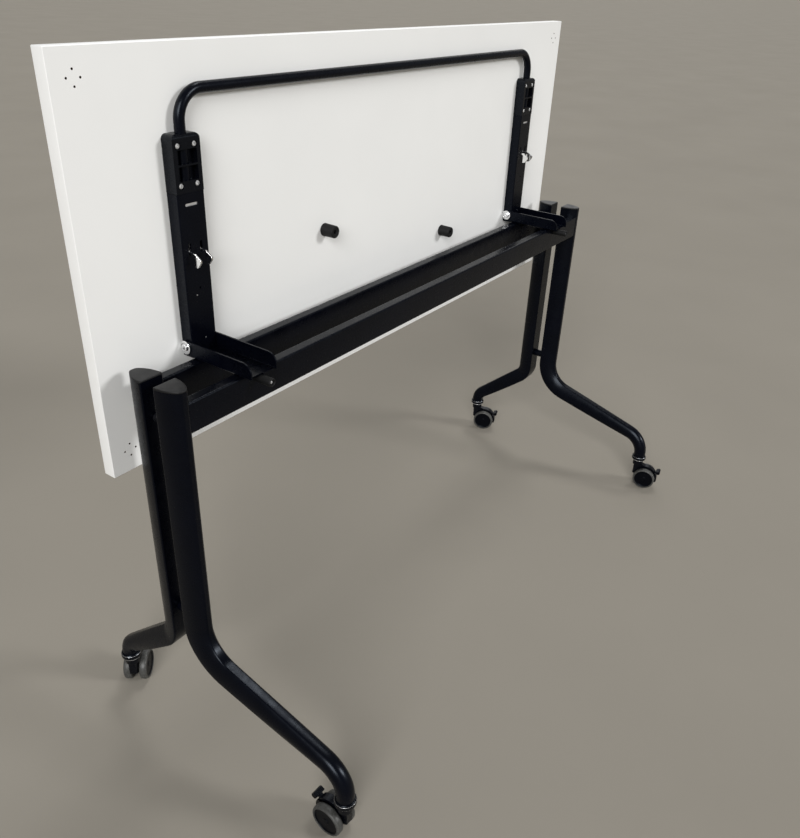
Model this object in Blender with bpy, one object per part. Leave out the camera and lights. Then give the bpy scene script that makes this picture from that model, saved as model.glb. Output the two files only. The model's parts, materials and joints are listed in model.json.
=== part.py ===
"""Flip top training table on twin-wheel casters, shown with its top flipped up for storing.

Units are metres and +Z is up. +X runs along the table and +Y points from the release bar side
through the top. The origin is on the floor, in the middle of the table's box.
Pieces are first placed about the plane midway between the front and the rear legs.
"""

import math

import bmesh
import bpy
from mathutils import Matrix, Vector

# Clearances
FIT_GAP = 0.0003
RUNNING_GAP = 0.0005

# Table top
TOP_LENGTH = 1.400
TOP_DEPTH = 0.600
TOP_THICKNESS = 0.0225
TOP_EDGE_ROUND = 0.0012
PIVOT_TO_TOP_EDGE = 0.170
PIVOT_TO_UNDERSIDE = 0.0115
PILOT_HOLE_DIAMETER = 0.004
PILOT_HOLE_DEPTH = 0.012
PILOT_HOLE_REACH = 0.010
PILOT_SIDE_INSET = 0.035
PILOT_EDGE_INSET = 0.036

# Beams
BEAM_TOP_HEIGHT = 0.708
BEAM_WIDTH = 0.020
BEAM_HEIGHT = 0.050
BEAM_WALL = 0.0015
BEAM_CORNER_ROUND = 0.003
BEAM_NOSE_SETBACK = 0.0011

# Legs
LEG_END_INSET = 0.0424
LEG_WIDTH = 0.041
LEG_DEPTH = 0.0414
LEG_WALL = 0.003
LEG_GAP = 0.0264
LEG_NOSE_SHAPE = 1.4
LEG_NOSE_FLAT = 0.004
LEG_TO_TOP_GAP = 0.004
LEG_CAP_THICKNESS = 0.003
LEG_CAP_PLUG_DEPTH = 0.012
FOOT_DIAMETER = 0.031
FOOT_NOSE_SHAPE = 1.0
FOOT_NOSE_FLAT = 0.0079
FOOT_NOSE_DROP = 0.0038
FRONT_FOOT_REACH = 0.3407
FRONT_KNEE_HEIGHT = 0.2300
FRONT_KNEE_ROUND = 0.080
FRONT_TOE_HEIGHT = 0.1425
FRONT_TOE_ROUND = 0.058
FRONT_TAPER = 1.6
REAR_FOOT_REACH = 0.1844
REAR_KNEE_HEIGHT = 0.237
REAR_KNEE_ROUND = 0.041
REAR_TOE_HEIGHT = 0.1115
REAR_TOE_ROUND = 0.038
REAR_TAPER = 1.9
UPPER_TIE_DIAMETER = 0.014
UPPER_TIE_DROP = 0.0415
LOWER_SPACER_DIAMETER = 0.019
LOWER_SPACER_HEIGHT = 0.304

# Flip arms
ARM_TO_LEG = 0.1381
ARM_WIDTH = 0.050
ARM_DEPTH = 0.0225
ARM_SHEET = 0.002
ARM_LIP = 0.009
ARM_BEND_ROUND = 0.003
ARM_LENGTH = 0.235
ARM_TAIL = 0.0165
ARM_REST_GAP = 0.0017
ARM_SLOT_LENGTH = 0.024
ARM_SLOT_WIDTH = 0.0035
ARM_SLOT_TO_END = 0.0165
SPRING_BRIDGE_TO_END = 0.0355

# Grip blocks
BLOCK_LENGTH = 0.080
BLOCK_SHOULDER_ROUND = 0.008
BLOCK_FRONT_ROUND = 0.006
BLOCK_WINDOW_WIDTH = 0.036
BLOCK_WINDOW_DEPTH = 0.009
BLOCK_WINDOW_HEIGHT = 0.020
BLOCK_RIB = 0.003
BLOCK_WINDOW_MIDDLE = 0.038
BLOCK_SCREW_SPREAD = 0.0325
BLOCK_SCREW_INSET = 0.0105
BLOCK_UPPER_SCREW_INSET = 0.0150
BLOCK_SCREW_RECESS_DIAMETER = 0.009
BLOCK_SCREW_RECESS_DEPTH = 0.003

# Release bar, pull rods, springs and hooks
BAR_DIAMETER = 0.016
BAR_WALL = 0.0015
BAR_RISE = 0.0555
BAR_BEND_RADIUS = 0.042
BAR_INSERT = 0.0085
RELEASE_TRAVEL = 0.012
ROD_DIAMETER = 0.006
ROD_PLUG_LENGTH = 0.014
ROD_SHOULDER = 0.003
ROD_HEAD_DIAMETER = 0.010
ROD_HEAD_THICKNESS = 0.003
SPRING_DIAMETER = 0.0115
SPRING_WIRE = 0.0015
SPRING_CURLS = 6
HOOK_WIDTH = 0.025
HOOK_PRONG = 0.004
HOOK_ENGAGEMENT = 0.007
HOOK_NOSE_LENGTH = 0.0155
HOOK_SHANK = 0.006
HOOK_STANDOFF = 0.0065
HOOK_NOSE_DEPTH = 0.013
HOOK_CARRIER_HEIGHT = 0.010

# Support brackets and pivots
BRACKET_SHEET = 0.0025
BRACKET_PLATE_NOSE = 0.017
BRACKET_CHEEK_LEAD = 0.0028
BRACKET_EAR_RADIUS = 0.0105
BRACKET_NOSE_ROUND = 0.018
BRACKET_NOTCH_DEPTH = 0.003
PLATE_REAR_OVERHANG = 0.0008
BOLT_DIAMETER = 0.008
BOLT_HEAD_DIAMETER = 0.020
BOLT_HEAD_THICKNESS = 0.0045
BOLT_SOCKET_FLATS = 0.005
BOLT_SOCKET_DEPTH = 0.0025
BOLT_END = 0.002
NUT_FLATS = 0.013
NUT_THICKNESS = 0.0065

# Bumpers
NEST_BUMPER_DIAMETER = 0.015
NEST_BUMPER_LENGTH = 0.035
NEST_BUMPER_DROP = 0.0077
NEST_BUMPER_HOLE = 0.008
TOP_BUMPER_DIAMETER = 0.024
TOP_BUMPER_HOLE = 0.007
TOP_BUMPER_SPREAD = 0.400
BUMPER_HOLE_DEPTH = 0.010
BUMPER_EDGE_ROUND = 0.0015

# Casters
WHEEL_DIAMETER = 0.060
WHEEL_WIDTH = 0.015
WHEEL_EDGE_ROUND = 0.002
WHEEL_RIM = 0.008
WHEEL_DISH = 0.0008
WHEEL_SIDE_GAP = 0.0007
WHEEL_BORE_DEPTH = 0.0096
AXLE_DIAMETER = 0.008
CASTER_TRAIL = 0.025
CASTER_HEIGHT = 0.080
HOOD_THICKNESS = 0.0134
HOOD_COVER = 0.004
HOOD_SKIRT = 0.009
HOOD_POST_WIDTH = 0.018
HOOD_POST_DROP = 0.026
NECK_DIAMETER = 0.027
NECK_HEIGHT = 0.0175
STEM_DIAMETER = 0.010
STEM_LENGTH = 0.031
COLLAR_DIAMETER = 0.0375
COLLAR_HEIGHT = 0.012
STEM_SHANK_HEIGHT = 0.018
LEVER_WIDTH = 0.008
LEVER_THICKNESS = 0.005
LEVER_KNUCKLE_DIAMETER = 0.010
LEVER_SEAT_DEPTH = 0.007
LEVER_SEAT_ANGLE = math.radians(40)
LEVER_REST_ANGLE = math.radians(20)
LEVER_TRAVEL = math.radians(20)
LEVER_REACH = 0.021
PEDAL_WIDTH = 0.020
PEDAL_LENGTH = 0.011
PEDAL_THICKNESS = 0.009
PEDAL_CHAMFER = 0.0025

# Corner name, side along X, side along Y and the way the caster trails at rest
CORNERS = (
    ("left_front", -1, -1, math.radians(88)),
    ("left_rear", -1, 1, math.radians(36)),
    ("right_front", 1, -1, math.radians(282)),
    ("right_rear", 1, 1, math.radians(290)),
)
SIDES = (("left", -1), ("right", 1))

# Smoothness of round shapes
ROUND_SIDES = 16
SMALL_SIDES = 12
HOLE_SIDES = 10
WHEEL_SIDES = 20
TUBE_SIDES = 12
BEND_STEPS = 5
FOOT_STEPS = 4
CORNER_STEPS = 2
SECTION_STEPS = 8
CURL_POINTS = 9
WIRE_SIDES = 6
SHARP_ANGLE = math.radians(38)
EDGE_SHARE = 0.98

# Places that follow from the sizes
LEG_X = TOP_LENGTH / 2 - LEG_END_INSET
ARM_X = LEG_X - ARM_TO_LEG
LEG_NOSE_Y = LEG_GAP / 2 + LEG_DEPTH
LEG_MIDDLE_Y = LEG_GAP / 2 + LEG_DEPTH / 2
BEAM_Y = LEG_NOSE_Y - BEAM_NOSE_SETBACK - BEAM_WIDTH / 2
BEAM_FACE_Y = BEAM_Y + BEAM_WIDTH / 2
PLATE_BOTTOM = BEAM_TOP_HEIGHT + FIT_GAP
PLATE_TOP = PLATE_BOTTOM + BRACKET_SHEET
PLATE_REAR_Y = BEAM_FACE_Y + PLATE_REAR_OVERHANG
PLATE_FRONT_Y = -BEAM_FACE_Y - BRACKET_PLATE_NOSE
UNDERSIDE_HEIGHT = PLATE_TOP + ARM_REST_GAP + ARM_DEPTH
PIVOT_Z = UNDERSIDE_HEIGHT - PIVOT_TO_UNDERSIDE
PIVOT_Y = PLATE_REAR_Y + FIT_GAP + ARM_DEPTH - PIVOT_TO_UNDERSIDE
LEG_CAP_TOP = UNDERSIDE_HEIGHT - LEG_TO_TOP_GAP
LEG_TOP = LEG_CAP_TOP - LEG_CAP_THICKNESS - FIT_GAP
CHEEK_INNER = ARM_WIDTH / 2 + RUNNING_GAP
CHEEK_OUTER = CHEEK_INNER + BRACKET_SHEET

# Places measured from the pivot, in the frame of the flipped-up top
WEB_Y = PIVOT_TO_UNDERSIDE - ARM_DEPTH
WEB_INNER_Y = WEB_Y + ARM_SHEET
LIP_Y = PIVOT_TO_UNDERSIDE - FIT_GAP
LIP_INNER_Y = LIP_Y - ARM_SHEET
BLOCK_BOTTOM = ARM_LENGTH + FIT_GAP
BLOCK_TOP = BLOCK_BOTTOM + BLOCK_LENGTH
BAR_Y = WEB_INNER_Y + RUNNING_GAP + BAR_DIAMETER / 2
BAR_END = ARM_LENGTH - BAR_INSERT
BAR_TOP = BLOCK_TOP + BAR_RISE
HOOK_TIP = PIVOT_Y - PLATE_FRONT_Y - HOOK_ENGAGEMENT
HOOK_SHANK_LOW = HOOK_TIP + HOOK_NOSE_LENGTH
HOOK_SHANK_HIGH = HOOK_SHANK_LOW + HOOK_SHANK
CARRIER_LOW = HOOK_SHANK_LOW + (HOOK_SHANK - HOOK_CARRIER_HEIGHT) / 2
CARRIER_HIGH = CARRIER_LOW + HOOK_CARRIER_HEIGHT
BRIDGE_LOW = ARM_LENGTH - SPRING_BRIDGE_TO_END

# Places in a caster, measured from the floor under its stem
AXLE_HEIGHT = WHEEL_DIAMETER / 2 * math.cos(math.pi / WHEEL_SIDES)
HOOD_RADIUS = WHEEL_DIAMETER / 2 + HOOD_COVER
HOOD_TOP = CASTER_HEIGHT - FIT_GAP
FOOT_END = CASTER_HEIGHT + COLLAR_HEIGHT + FIT_GAP
LEVER_SEAT_RADIUS = HOOD_RADIUS - LEVER_SEAT_DEPTH


def clear_scene():
    """Remove every object that is already in the scene."""
    for item in list(bpy.data.objects):
        bpy.data.objects.remove(item, do_unlink=True)


def make_material(name, colour, roughness, metallic=0.0):
    """Return a Principled material."""
    material = bpy.data.materials.new(name)
    material.use_nodes = True
    shader = material.node_tree.nodes["Principled BSDF"]
    shader.inputs["Base Color"].default_value = (*colour, 1.0)
    shader.inputs["Roughness"].default_value = roughness
    shader.inputs["Metallic"].default_value = metallic
    return material


def finish_mesh(shape):
    """Turn a bmesh into a mesh whose faces point out."""
    bmesh.ops.recalc_face_normals(shape, faces=shape.faces)
    mesh = bpy.data.meshes.new("shape")
    shape.to_mesh(mesh)
    shape.free()
    return mesh


def loft(rings, closed=False):
    """Return a solid through rings of points, capped at both ends or closed on itself."""
    shape = bmesh.new()
    loops = [[shape.verts.new(point) for point in ring] for ring in rings]
    pairs = list(zip(loops, loops[1:]))
    if closed:
        pairs.append((loops[-1], loops[0]))
    for first, second in pairs:
        for index in range(len(first)):
            following = (index + 1) % len(first)
            shape.faces.new((first[index], first[following], second[following], second[index]))
    if not closed:
        shape.faces.new(loops[0])
        shape.faces.new(loops[-1])
    return finish_mesh(shape)


def hollow_loft(outer, inner):
    """Return an open-ended tube between outer and inner rings."""
    return loft(outer + inner[::-1], closed=True)


def prism(outline, low, high, place):
    """Return the solid of a flat outline carried from low to high by a placing function."""
    rings = [[place(a, b, level) for a, b in outline] for level in (low, high)]
    return loft(rings)


def along_x(a, b, level):
    """Place an outline in YZ."""
    return Vector((level, a, b))


def along_y(a, b, level):
    """Place an outline in XZ."""
    return Vector((a, level, b))


def along_z(a, b, level):
    """Place an outline in XY."""
    return Vector((a, b, level))


def block(low, high):
    """Return a box between two corners."""
    outline = ((low[0], low[1]), (high[0], low[1]), (high[0], high[1]), (low[0], high[1]))
    return prism(outline, low[2], high[2], along_z)


def circle(radius, sides, centre=(0.0, 0.0)):
    """Return the points of a circle, with a flat side at the bottom."""
    step = math.tau / sides
    start = -math.pi / 2 + step / 2
    angles = [start + step * index for index in range(sides)]
    return [(centre[0] + radius * math.cos(turn), centre[1] + radius * math.sin(turn)) for turn in angles]


def turned(profile, sides, place, centre=(0.0, 0.0)):
    """Return a turned solid from (radius, level) points, with poles where the radius is zero."""
    shape = bmesh.new()
    loops = []
    for radius, level in profile:
        points = circle(radius, sides, centre) if radius > 0 else [centre]
        loops.append([shape.verts.new(place(a, b, level)) for a, b in points])
    for first, second in zip(loops, loops[1:]):
        for index in range(sides):
            corners = [first[index % len(first)], first[(index + 1) % len(first)]]
            corners += [second[(index + 1) % len(second)], second[index % len(second)]]
            shape.faces.new(list(dict.fromkeys(corners)))
    return finish_mesh(shape)


def rod(radius, low, high, place, sides=HOLE_SIDES, centre=(0.0, 0.0)):
    """Return a plain cylinder."""
    return prism(circle(radius, sides, centre), low, high, place)


def combine(base, tools, operation):
    """Return the Boolean of a mesh with tool meshes."""
    collection = bpy.context.scene.collection
    holder = bpy.data.objects.new("holder", base)
    collection.objects.link(holder)
    helpers = []
    for tool in tools:
        helper = bpy.data.objects.new("tool", tool)
        helper.hide_render = True
        helper.display_type = "WIRE"
        collection.objects.link(helper)
        helpers.append(helper)
        modifier = holder.modifiers.new("boolean", "BOOLEAN")
        modifier.operation = operation
        modifier.solver = "EXACT"
        modifier.object = helper
    graph = bpy.context.evaluated_depsgraph_get()
    mesh = bpy.data.meshes.new_from_object(holder.evaluated_get(graph))
    for item in (holder, *helpers):
        bpy.data.objects.remove(item, do_unlink=True)
    return mesh


def cut(base, *tools):
    """Return a mesh with the tools cut out of it."""
    return combine(base, tools, "DIFFERENCE")


def fuse(base, *others):
    """Return a mesh with the others joined to it."""
    return combine(base, others, "UNION")


def fitting_rounds(points, corners, closed):
    """Return the corners' radii, made smaller where two arcs would not fit on the edge they share."""
    count = len(points)
    rounds = [corner[2] for corner in corners]
    reaches = []
    for index, radius in enumerate(rounds):
        incoming = points[index] - points[index - 1]
        outgoing = points[(index + 1) % count] - points[index]
        reaches.append(radius * math.tan(incoming.angle(outgoing) / 2))
    fitted = list(rounds)
    for index in range(count if closed else count - 1):
        following = (index + 1) % count
        room = EDGE_SHARE * (points[following] - points[index]).length
        need = reaches[index] + reaches[following]
        if need > room:
            for end in (index, following):
                fitted[end] = min(fitted[end], rounds[end] * room / need)
    return fitted


def corner_arc(before, corner, after, radius, steps):
    """Return (point, direction) stations that round the corner of a flat path."""
    incoming = (corner - before).normalized()
    outgoing = (after - corner).normalized()
    turn = math.atan2(incoming.cross(outgoing), incoming.dot(outgoing))
    start = corner - incoming * radius * math.tan(abs(turn) / 2)
    side = Vector((-incoming.y, incoming.x)) * math.copysign(radius, turn)
    stations = []
    for step in range(steps + 1):
        spin = Matrix.Rotation(turn * step / steps, 2)
        stations.append((start + side - spin @ side, spin @ incoming))
    return stations


def path_stations(corners, steps):
    """Return (point, direction) stations along an open path of (a, b, radius) corners."""
    points = [Vector(corner[:2]) for corner in corners]
    rounds = fitting_rounds(points, corners, closed=False)
    stations = [(points[0], (points[1] - points[0]).normalized())]
    for index in range(1, len(points) - 1):
        neighbours = points[index - 1:index + 2]
        stations += corner_arc(*neighbours, rounds[index], steps)
    stations.append((points[-1], (points[-1] - points[-2]).normalized()))
    return stations


def rounded_outline(corners, steps=CORNER_STEPS):
    """Return the points of a closed outline of (a, b, radius) corners."""
    points = [Vector(corner[:2]) for corner in corners]
    rounds = fitting_rounds(points, corners, closed=True)
    outline = []
    for index, radius in enumerate(rounds):
        following = points[(index + 1) % len(points)]
        if radius > 0:
            arc = corner_arc(points[index - 1], points[index], following, radius, steps)
            outline += [tuple(point) for point, _ in arc]
        else:
            outline.append(tuple(points[index]))
    return outline


def add_piece(name, mesh, material, parent, place=(0.0, 0.0, 0.0)):
    """Add a named piece under its parent."""
    mesh.name = name
    mesh.materials.clear()
    mesh.materials.append(material)
    mesh.shade_smooth()
    mesh.set_sharp_from_angle(angle=SHARP_ANGLE)
    piece = bpy.data.objects.new(name, mesh)
    piece.parent = parent
    piece.location = place
    bpy.context.scene.collection.objects.link(piece)
    return piece


def add_empty(name, parent, place=(0.0, 0.0, 0.0), turn=0.0):
    """Add an empty that marks a joint, turned about Z."""
    empty = bpy.data.objects.new(name, None)
    empty.parent = parent
    empty.location = place
    empty.rotation_euler = (0.0, 0.0, turn)
    bpy.context.scene.collection.objects.link(empty)
    return empty


def table_top():
    """Return the board with its pilot holes for optional corner fittings."""
    shape = bmesh.new()
    bmesh.ops.create_cube(shape, size=1.0)
    bmesh.ops.scale(shape, vec=(TOP_LENGTH, TOP_THICKNESS, TOP_DEPTH), verts=shape.verts)
    bmesh.ops.bevel(shape, geom=shape.edges, offset=TOP_EDGE_ROUND, segments=2, affect="EDGES", profile=0.5)
    low = -PIVOT_TO_TOP_EDGE
    middle = Vector((0.0, PIVOT_TO_UNDERSIDE + TOP_THICKNESS / 2, low + TOP_DEPTH / 2))
    bmesh.ops.translate(shape, vec=middle, verts=shape.verts)
    holes = []
    for side_x in (-1, 1):
        cluster_x = side_x * (TOP_LENGTH / 2 - PILOT_SIDE_INSET)
        for cluster_z in (low + PILOT_EDGE_INSET, low + TOP_DEPTH - PILOT_EDGE_INSET):
            for quarter in range(4):
                turn = quarter * math.pi / 2
                centre = (
                    cluster_x + PILOT_HOLE_REACH * math.cos(turn),
                    cluster_z + PILOT_HOLE_REACH * math.sin(turn),
                )
                floor = PIVOT_TO_UNDERSIDE + PILOT_HOLE_DEPTH
                mouth = PIVOT_TO_UNDERSIDE - PILOT_HOLE_DEPTH
                holes.append(rod(PILOT_HOLE_DIAMETER / 2, mouth, floor, along_y, 8, centre))
    return cut(finish_mesh(shape), *holes)


def flip_arm():
    """Return the lipped channel that carries the top, with its spring bridge and openings."""
    half = ARM_WIDTH / 2
    lip = half - ARM_LIP
    inside = half - ARM_SHEET
    bend = ARM_BEND_ROUND
    inner_bend = max(ARM_BEND_ROUND - ARM_SHEET, FIT_GAP)
    outline = rounded_outline((
        (-half, LIP_Y, 0), (-half, WEB_Y, bend), (half, WEB_Y, bend), (half, LIP_Y, 0),
        (lip, LIP_Y, 0), (lip, LIP_INNER_Y, 0), (inside, LIP_INNER_Y, 0),
        (inside, WEB_INNER_Y, inner_bend), (-inside, WEB_INNER_Y, inner_bend),
        (-inside, LIP_INNER_Y, 0), (-lip, LIP_INNER_Y, 0), (-lip, LIP_Y, 0),
    ))
    channel = prism(outline, -ARM_TAIL, ARM_LENGTH, along_z)
    bite = ARM_SHEET / 2
    bridge = block(
        (-inside - bite, WEB_INNER_Y - bite, BRIDGE_LOW),
        (inside + bite, LIP_INNER_Y - RUNNING_GAP, BRIDGE_LOW + ARM_SHEET),
    )
    channel = fuse(channel, bridge)
    through = ARM_DEPTH
    slot_z = ARM_LENGTH - ARM_SLOT_TO_END
    slot = rounded_outline((
        (-ARM_SLOT_LENGTH / 2, slot_z - ARM_SLOT_WIDTH / 2, ARM_SLOT_WIDTH / 2 - FIT_GAP),
        (ARM_SLOT_LENGTH / 2, slot_z - ARM_SLOT_WIDTH / 2, ARM_SLOT_WIDTH / 2 - FIT_GAP),
        (ARM_SLOT_LENGTH / 2, slot_z + ARM_SLOT_WIDTH / 2, ARM_SLOT_WIDTH / 2 - FIT_GAP),
        (-ARM_SLOT_LENGTH / 2, slot_z + ARM_SLOT_WIDTH / 2, ARM_SLOT_WIDTH / 2 - FIT_GAP),
    ))
    window_side = HOOK_WIDTH / 2 + RUNNING_GAP
    window = block(
        (-window_side, WEB_Y - bite, CARRIER_LOW - RUNNING_GAP),
        (window_side, WEB_INNER_Y + bite, HOOK_SHANK_HIGH + RELEASE_TRAVEL + RUNNING_GAP),
    )
    return cut(
        channel,
        prism(slot, WEB_Y - bite, WEB_INNER_Y + bite, along_y),
        window,
        rod(BOLT_DIAMETER / 2 + FIT_GAP, -ARM_WIDTH, ARM_WIDTH, along_x, SMALL_SIDES),
        rod(ROD_DIAMETER / 2 + RUNNING_GAP, BRIDGE_LOW - through, BRIDGE_LOW + through, along_z,
            HOLE_SIDES, (0.0, BAR_Y)),
    )


def grip_block():
    """Return the moulded guide block round a leg of the release bar."""
    half = ARM_WIDTH / 2
    shoulders = rounded_outline((
        (-half, BLOCK_BOTTOM, 0), (half, BLOCK_BOTTOM, 0),
        (half, BLOCK_TOP, BLOCK_SHOULDER_ROUND), (-half, BLOCK_TOP, BLOCK_SHOULDER_ROUND),
    ))
    body = prism(shoulders, WEB_Y, LIP_Y, along_y)
    reach = BLOCK_FRONT_ROUND
    brow = rounded_outline((
        (WEB_Y - reach, BLOCK_TOP + reach, 0), (WEB_Y - reach, BLOCK_BOTTOM - reach, 0),
        (WEB_Y, BLOCK_BOTTOM - reach, 0), (WEB_Y, BLOCK_TOP, reach),
        (LIP_Y + reach, BLOCK_TOP, 0), (LIP_Y + reach, BLOCK_TOP + reach, 0),
    ))
    tools = [prism(brow, -ARM_WIDTH, ARM_WIDTH, along_x)]
    bore_radius = BAR_DIAMETER / 2 + FIT_GAP
    low, high = BLOCK_BOTTOM - reach, BLOCK_TOP + reach
    tools.append(rod(bore_radius, low, high, along_z, TUBE_SIDES, (0.0, BAR_Y)))
    middle = BLOCK_BOTTOM + BLOCK_WINDOW_MIDDLE
    for side in (-1, 1):
        near = middle + side * BLOCK_RIB / 2
        far = near + side * BLOCK_WINDOW_HEIGHT
        tools.append(block(
            (-BLOCK_WINDOW_WIDTH / 2, WEB_Y - reach, min(near, far)),
            (BLOCK_WINDOW_WIDTH / 2, WEB_Y + BLOCK_WINDOW_DEPTH, max(near, far)),
        ))
        for level in (BLOCK_BOTTOM + BLOCK_SCREW_INSET, BLOCK_TOP - BLOCK_UPPER_SCREW_INSET):
            centre = (side * BLOCK_SCREW_SPREAD / 2, level)
            floor = WEB_Y + BLOCK_SCREW_RECESS_DEPTH
            tools.append(rod(BLOCK_SCREW_RECESS_DIAMETER / 2, WEB_Y - reach, floor, along_y,
                             HOLE_SIDES, centre))
    return cut(body, *tools)


def release_bar():
    """Return the bent tube that is pulled to free both hooks."""
    stations = path_stations((
        (-ARM_X, BAR_END, 0), (-ARM_X, BAR_TOP, BAR_BEND_RADIUS),
        (ARM_X, BAR_TOP, BAR_BEND_RADIUS), (ARM_X, BAR_END, 0),
    ), BEND_STEPS)

    def rings(radius):
        hoops = []
        for point, direction in stations:
            hoop = []
            for across, outward in circle(radius, TUBE_SIDES):
                x = point.x - direction.y * across
                z = point.y + direction.x * across
                hoop.append(Vector((x, BAR_Y + outward, z)))
            hoops.append(hoop)
        return hoops

    return hollow_loft(rings(BAR_DIAMETER / 2), rings(BAR_DIAMETER / 2 - BAR_WALL))


def pull_rod():
    """Return the turned rod from a bar leg down to its hook."""
    plug = BAR_DIAMETER / 2 - BAR_WALL - FIT_GAP
    shoulder = BAR_DIAMETER / 2
    thin = ROD_DIAMETER / 2
    head = ROD_HEAD_DIAMETER / 2
    seat = BAR_END - FIT_GAP
    head_top = CARRIER_LOW - FIT_GAP
    profile = (
        (0, seat + ROD_PLUG_LENGTH), (plug, seat + ROD_PLUG_LENGTH), (plug, seat),
        (shoulder, seat), (shoulder, seat - ROD_SHOULDER), (thin, seat - ROD_SHOULDER),
        (thin, head_top), (head, head_top), (head, head_top - ROD_HEAD_THICKNESS),
        (0, head_top - ROD_HEAD_THICKNESS),
    )
    return turned(profile, HOLE_SIDES, along_z, (0.0, BAR_Y))


def return_spring():
    """Return the coil that pushes a hook back down, with the least gap between its curls."""
    low = CARRIER_HIGH + FIT_GAP + SPRING_WIRE / 2
    high = BRIDGE_LOW - FIT_GAP - SPRING_WIRE / 2
    count = SPRING_CURLS * CURL_POINTS
    radius = SPRING_DIAMETER / 2
    centres = []
    for index in range(count + 1):
        turn = math.tau * index / CURL_POINTS
        level = low + (high - low) * index / count
        centres.append(Vector((radius * math.cos(turn), BAR_Y + radius * math.sin(turn), level)))
    rings = []
    for index, centre in enumerate(centres):
        turn = math.tau * index / CURL_POINTS
        outward = Vector((math.cos(turn), math.sin(turn), 0.0))
        up = Vector((0.0, 0.0, 1.0))
        rings.append([centre + outward * a + up * b for a, b in circle(SPRING_WIRE / 2, WIRE_SIDES)])
    apart = CURL_POINTS // 2
    gap = min(
        (second - first).length
        for index, first in enumerate(centres)
        for second in centres[index + apart:]
    ) - SPRING_WIRE
    return loft(rings), gap


def latch_hook():
    """Return the two-pronged hook on the carrier that slides inside an arm."""
    half = HOOK_WIDTH / 2
    back = WEB_Y - HOOK_STANDOFF
    front = back - HOOK_NOSE_DEPTH
    root = WEB_INNER_Y + ARM_SHEET
    outline = rounded_outline((
        (root, HOOK_SHANK_LOW, 0), (root, HOOK_SHANK_HIGH, 0), (front, HOOK_SHANK_HIGH, HOOK_SHANK / 2),
        (front, HOOK_SHANK_LOW - HOOK_SHANK / 2, HOOK_NOSE_DEPTH / 3), (back, HOOK_TIP, 0),
        (back, HOOK_SHANK_LOW, 0),
    ))
    carrier = block(
        (-half, WEB_INNER_Y + FIT_GAP, CARRIER_LOW), (half, LIP_INNER_Y - RUNNING_GAP, CARRIER_HIGH),
    )
    prongs = []
    for side in (-1, 1):
        outer = side * half
        inner = side * (half - HOOK_PRONG)
        prongs.append(prism(outline, min(outer, inner), max(outer, inner), along_x))
    body = fuse(carrier, *prongs)
    bore = rod(ROD_DIAMETER / 2 + FIT_GAP, HOOK_TIP, BRIDGE_LOW, along_z, HOLE_SIDES, (0.0, BAR_Y))
    return cut(body, bore)


def support_bracket():
    """Return the folded bracket that joins both beams and carries an arm's pivot."""
    cheek_top = PIVOT_Z + BRACKET_EAR_RADIUS
    cheek_front = PLATE_FRONT_Y - BRACKET_CHEEK_LEAD
    rear = PIVOT_Y + BRACKET_EAR_RADIUS
    outline = rounded_outline((
        (cheek_front, PLATE_BOTTOM, 0), (PLATE_REAR_Y, PLATE_BOTTOM, 0),
        (rear, PIVOT_Z - BRACKET_EAR_RADIUS, BRACKET_EAR_RADIUS / 2),
        (rear, cheek_top, BRACKET_EAR_RADIUS - FIT_GAP), (cheek_front, cheek_top, BRACKET_NOSE_ROUND),
    ), BEND_STEPS)
    plate = block(
        (-CHEEK_INNER - BRACKET_SHEET / 2, PLATE_FRONT_Y, PLATE_BOTTOM),
        (CHEEK_INNER + BRACKET_SHEET / 2, PLATE_REAR_Y, PLATE_TOP),
    )
    cheeks = [
        prism(outline, -CHEEK_OUTER, -CHEEK_INNER, along_x),
        prism(outline, CHEEK_INNER, CHEEK_OUTER, along_x),
    ]
    body = fuse(plate, *cheeks)
    notch = block(
        (-CHEEK_INNER, PLATE_FRONT_Y - BRACKET_NOTCH_DEPTH, PLATE_BOTTOM - BRACKET_SHEET),
        (0.0, PLATE_FRONT_Y + BRACKET_NOTCH_DEPTH, PLATE_TOP + BRACKET_SHEET),
    )
    bolt_hole = rod(BOLT_DIAMETER / 2 + FIT_GAP, -ARM_WIDTH, ARM_WIDTH, along_x,
                    SMALL_SIDES, (PIVOT_Y, PIVOT_Z))
    return cut(body, notch, bolt_hole)


def hexagon(flats):
    """Return a hexagon with the given distance across its flats."""
    return circle(flats / 2 / math.cos(math.pi / 6), 6)


def pivot_bolt():
    """Return the button-head bolt that an arm turns on."""
    shaft = BOLT_DIAMETER / 2
    head = BOLT_HEAD_DIAMETER / 2
    seat = -CHEEK_OUTER - FIT_GAP
    face = seat - BOLT_HEAD_THICKNESS
    end = CHEEK_OUTER + FIT_GAP + NUT_THICKNESS + BOLT_END
    profile = (
        (0, face), (BOLT_SOCKET_FLATS, face), (head, seat - BOLT_HEAD_THICKNESS / 3),
        (head, seat), (shaft, seat), (shaft, end), (0, end),
    )
    socket = prism(hexagon(BOLT_SOCKET_FLATS), face - BOLT_SOCKET_DEPTH, face + BOLT_SOCKET_DEPTH, along_x)
    return cut(turned(profile, SMALL_SIDES, along_x), socket)


def pivot_nut():
    """Return the nut on a pivot bolt."""
    seat = CHEEK_OUTER + FIT_GAP
    body = prism(hexagon(NUT_FLATS), seat, seat + NUT_THICKNESS, along_x)
    return cut(body, rod(BOLT_DIAMETER / 2 + FIT_GAP, 0.0, 2 * seat, along_x, SMALL_SIDES))


def bumper(diameter, length, hole):
    """Return a rubber bumper that stands out along -Y from its seat, with a screw hole in its end."""
    radius = diameter / 2
    edge = BUMPER_EDGE_ROUND
    seat = -FIT_GAP
    tip = seat - length
    profile = (
        (0, seat), (radius, seat), (radius, tip + edge), (radius - edge, tip), (hole / 2, tip),
        (hole / 2, tip + BUMPER_HOLE_DEPTH), (0, tip + BUMPER_HOLE_DEPTH),
    )
    return turned(profile, ROUND_SIDES, along_y)


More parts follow.
